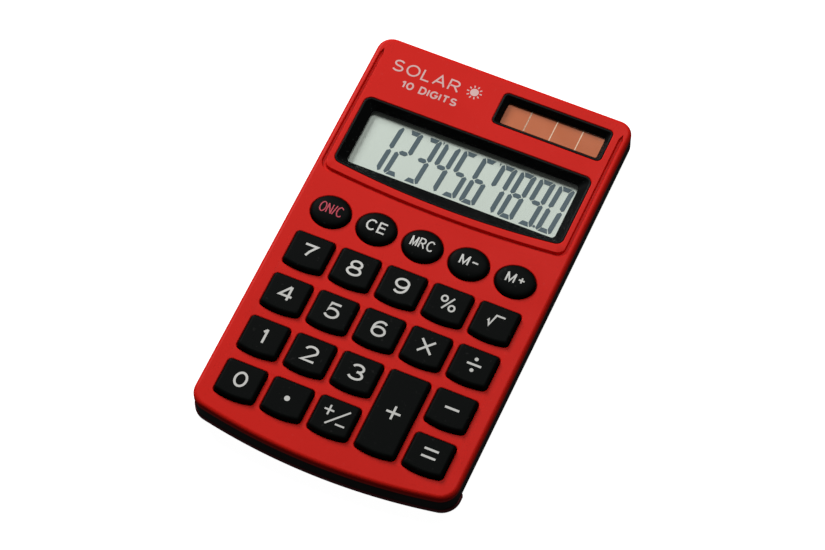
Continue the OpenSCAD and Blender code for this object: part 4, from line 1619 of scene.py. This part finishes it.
@dataclass
class Underside:
    """What shows from below: screws, rubber feet and the battery door."""

    head_r: float = 1.5
    head_t: float = 1.0
    door_head_t: float = 0.48
    low_seat: float = 1.17
    high_seat: float = 2.97
    door_seat: float = 1.73
    shank_r: float = 0.78
    slot_taper: float = 0.8
    cross_w: float = 0.5
    cross_l: float = 1.9
    cross_deep: float = 0.5
    door_hole_deep: float = 0.55
    screw_turn: float = 0.7
    door_round: float = 0.22
    grip: Slab = Slab(-12, 53.05, 9.4, 4.4, 0.6)
    grip_deep: float = 0.35
    ribs: int = 4
    rib_pitch: float = 0.95

    def screw(self, length: float, head_t: float) -> bpy.types.Object:
        """A cross-slotted screw with its head down and the head's upper face at zero.

        Args:
            length: how far the shank reaches up.
            head_t: thickness of the head.

        Returns:
            The screw, to be copied and then removed.
        """
        shell = Shell()
        edge = [(self.head_r - i, drop - head_t) for i, drop in reversed(rounded(0.3, 0.2, 4))]
        edge += [(self.head_r, 0.0), (self.shank_r, 0.0), (self.shank_r, length - 0.6), (0.25, length)]
        low, top = shell.bore(0, 0, edge)
        w, l = self.cross_w / 2, self.cross_l / 2
        quarters = ((1, 0, 0, 1), (0, 1, -1, 0), (-1, 0, 0, -1), (0, -1, 1, 0))
        arm = ((w, l), (w, w), (l, w))
        cross = [(a * x + b * y, c * x + d * y) for a, b, c, d in quarters for x, y in arm]
        levels = ((1.0, -head_t), (self.slot_taper, self.cross_deep * 0.7 - head_t))
        slot = [shell.ring([(x * k, y * k) for x, y in cross], z) for k, z in levels]
        shell.strip(slot[0], slot[1])
        shell.cover(slot[1])
        shell.cover(low, [slot[0]])
        shell.cover(top)
        return shell.mesh("screw_pattern", 30)

    def set_screws(self, name: str, node: str, groups: Sequence[tuple[float, float, Sequence[Point]]]) -> None:
        """Sets screws on their places.

        Args:
            name: the piece's name.
            node: the node it stands for.
            groups: seat height, head thickness and places of each kind.
        """
        top = span(node)[1].z
        made = []
        for seat, head_t, places in groups:
            pattern = self.screw(top - seat, head_t)
            spots = [Vector((x, y, seat)) * MM for x, y in places]
            turn = self.screw_turn
            made.append(REPEATS.grow("set_on_points", spots, Part=pattern, Turn_Step=turn, Material=STEEL.material()))
            bpy.data.objects.remove(pattern)
        fit(settle(joined(made, name), name, 30), STEEL, HOUSING, "screw_steel", node)

    def feet(self) -> None:
        """The two round rubber feet."""
        low, high, _ = span("rubber_feet")
        r = (high.y - low.y) / 2
        shell = Shell()
        edge = [(r - 1.0, low.z + 0.06), (r - 0.6, low.z)]
        edge += [(r - i, low.z + drop) for i, drop in reversed(rounded(0.35, 0.35, 5))]
        first, last = shell.bore(0, 0, [*edge, (r, high.z)])
        shell.cover(first)
        shell.cover(last)
        pattern = shell.mesh("foot_pattern")
        spots = [Vector((x, (low.y + high.y) / 2, 0)) * MM for x in (low.x + r, high.x - r)]
        mesh = REPEATS.grow("set_on_points", spots, Part=pattern, Turn_Step=0.0, Material=RUBBER.material())
        bpy.data.objects.remove(pattern)
        fit(settle(mesh, "rubber_feet_piece"), RUBBER, HOUSING, "rubber", "rubber_feet")

    def door(self) -> None:
        """The battery door with a ribbed grip and a sunk screw hole."""
        low, high, middle = span("battery_door")
        plate = Slab(middle.x, middle.y, high.x - low.x, high.y - low.y, 0.5)
        shell = Shell()
        profile = [(i, low.z + drop) for i, drop in reversed(rounded(self.door_round, self.door_round, 4))]
        rings = shell.loft(plate.at, [*profile, (0, high.z)])
        head, hole, seat = HEAD_HOLE_R, SHANK_HOLE_R, low.z + self.door_hole_deep
        steps = [(head, low.z), (head, seat), (hole, seat), (hole, high.z)]
        first, last = shell.bore(middle.x, DOOR_SCREW[1], steps)
        deep = low.z + self.grip_deep
        grip = shell.loft(self.grip.at, [(0, low.z), (0.12, deep - 0.08), (0.2, deep)])
        shell.cover(grip[-1])
        shell.cover(rings[0], [first, grip[0]])
        shell.cover(rings[-1], [last])
        fit(shell.mesh("battery_door_piece"), CASE_BLACK, HOUSING, "case_black", "battery_door")
        start = self.grip.y - self.rib_pitch * (self.ribs - 1) / 2
        mesh = REPEATS.grow(
            "row_of_bars",
            [],
            Count=self.ribs,
            First=Vector((self.grip.x, start, low.z + self.grip_deep - 0.05)) * MM,
            Step=Vector((0, self.rib_pitch, 0)) * MM,
            Bar_Size=Vector((self.grip.width - 1.0, 0.5, 0.6)) * MM,
            Material=CASE_BLACK.material(),
        )
        fit(settle(mesh, "battery_door_ribs"), CASE_BLACK, HOUSING, "case_black")

    def build(self) -> None:
        """Makes everything that shows from below."""
        case = [(self.low_seat, self.head_t, LOW_SCREWS), (self.high_seat, self.head_t, HIGH_SCREWS)]
        self.set_screws("case_screws_piece", "case_screws", case)
        self.set_screws("door_screw_piece", "door_screw", [(self.door_seat, self.door_head_t, [DOOR_SCREW])])
        self.feet()
        self.door()


def dress_inner_parts() -> None:
    """Gives every node that stays in view its finish."""
    for node, finish in CAD_FINISHES.items():
        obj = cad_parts[node]
        for slot in obj.material_slots:
            slot.material = finish.material()
        if not obj.material_slots:
            obj.data.materials.append(finish.material())
        LOG.info("%s: dressed as %s", node, finish.name)


# ---------- studio ----------


@dataclass(frozen=True)
class Softbox:
    """A square lamp that aims at the middle of the object.

    Attributes:
        name: the lamp's name.
        place: where it stands, in metres.
        size: length of its sides, in metres.
        power: its power in watts.
        colour: its linear colour.
    """

    name: str
    place: tuple[float, float, float]
    size: float
    power: float
    colour: Colour = (1.0, 1.0, 1.0)

    def build(self) -> None:
        """Sets the lamp up."""
        lamp = bpy.data.lights.new(self.name, "AREA")
        lamp.shape, lamp.size, lamp.energy, lamp.color = "SQUARE", self.size, self.power, self.colour
        obj = bpy.data.objects.new(self.name, lamp)
        obj.location = self.place
        obj.rotation_mode = "QUATERNION"
        obj.rotation_quaternion = (-Vector(self.place)).to_track_quat("-Z", "Y")
        obj.visible_camera = False
        bpy.context.scene.collection.objects.link(obj)


@dataclass
class Studio:
    """Floor, lamps, surroundings and camera."""

    azimuth: float = 26.88
    elevation: float = 60.78
    roll: float = -2.965
    distance: float = 809.37
    lens: float = 142.68
    aim: tuple[float, float, float] = (-0.077, -0.818, 4.0)
    floor_half: float = 3.0
    floor_glow: float = 0.975
    world: float = 0.052
    lamps: tuple[Softbox, ...] = (
        Softbox("key_lamp", (-0.66, 0.56, 0.56), 0.34, 9.0),
        Softbox("top_lamp", (0.0, 0.52, 0.93), 0.36, 4.9),
    )

    def build(self) -> None:
        """Sets the whole studio up."""
        self.build_floor()
        self.build_world()
        for lamp in self.lamps:
            lamp.build()
        self.build_camera()
        bpy.context.scene.view_settings.view_transform = "Standard"
        bpy.context.scene.view_settings.look = "None"

    def build_floor(self) -> None:
        """A plain pale floor at the height of the table."""
        bm = bmesh.new()
        h = self.floor_half
        bm.faces.new([bm.verts.new(p) for p in ((-h, -h, 0), (h, -h, 0), (h, h, 0), (-h, h, 0))])
        data = bpy.data.meshes.new("floor")
        bm.to_mesh(data)
        bm.free()
        floor = bpy.data.objects.new("floor", data)
        bpy.context.scene.collection.objects.link(floor)
        made = bpy.data.materials.new("pale_floor")
        made.use_nodes = True
        skin = made.node_tree.nodes["Principled BSDF"]
        skin.inputs["Base Color"].default_value = (0.5, 0.5, 0.5, 1)
        skin.inputs["Roughness"].default_value = 0.9
        skin.inputs["Specular IOR Level"].default_value = 0.0
        skin.inputs["Emission Color"].default_value = (1, 1, 1, 1)
        skin.inputs["Emission Strength"].default_value = self.floor_glow
        data.materials.append(made)
        floor.visible_diffuse = False
        floor.visible_glossy = False

    def build_world(self) -> None:
        """Even, dim surroundings."""
        world = bpy.data.worlds.new("surroundings")
        world.use_nodes = True
        back = world.node_tree.nodes["Background"]
        back.inputs["Color"].default_value = (1, 1, 1, 1)
        back.inputs["Strength"].default_value = self.world
        bpy.context.scene.world = world

    def build_camera(self) -> None:
        """The camera at its measured place."""
        a, e, r = (math.radians(v) for v in (self.azimuth, self.elevation, self.roll))
        back = Vector((math.sin(a) * math.cos(e), -math.cos(a) * math.cos(e), math.sin(e)))
        right = Vector((math.cos(a), math.sin(a), 0))
        up = back.cross(right)
        across = right * math.cos(r) + up * math.sin(r)
        upward = up * math.cos(r) - right * math.sin(r)
        data = bpy.data.cameras.new("camera")
        data.lens, data.sensor_width = self.lens, 36.0
        data.clip_start, data.clip_end = 0.02, 20.0
        camera = bpy.data.objects.new("camera", data)
        bpy.context.scene.collection.objects.link(camera)
        place = (Vector(self.aim) + back * self.distance) * MM
        turn = Matrix((across, upward, back)).transposed().to_4x4()
        camera.matrix_world = Matrix.Translation(place) @ turn
        bpy.context.scene.camera = camera


def main() -> None:
    """Builds the calculator, then the studio round it."""
    logging.basicConfig(level=logging.INFO, format="%(name)s: %(message)s")
    openings = Openings()
    keys = KeySet()
    FrontCover(keys, openings).build()
    RearCover().build()
    FootBar().build()
    Frames(openings).build()
    SolarStrip().build()
    keys.build()
    FacePrint().build()
    Underside().build()
    dress_inner_parts()
    Studio().build()


if __name__ == "__main__":
    main()
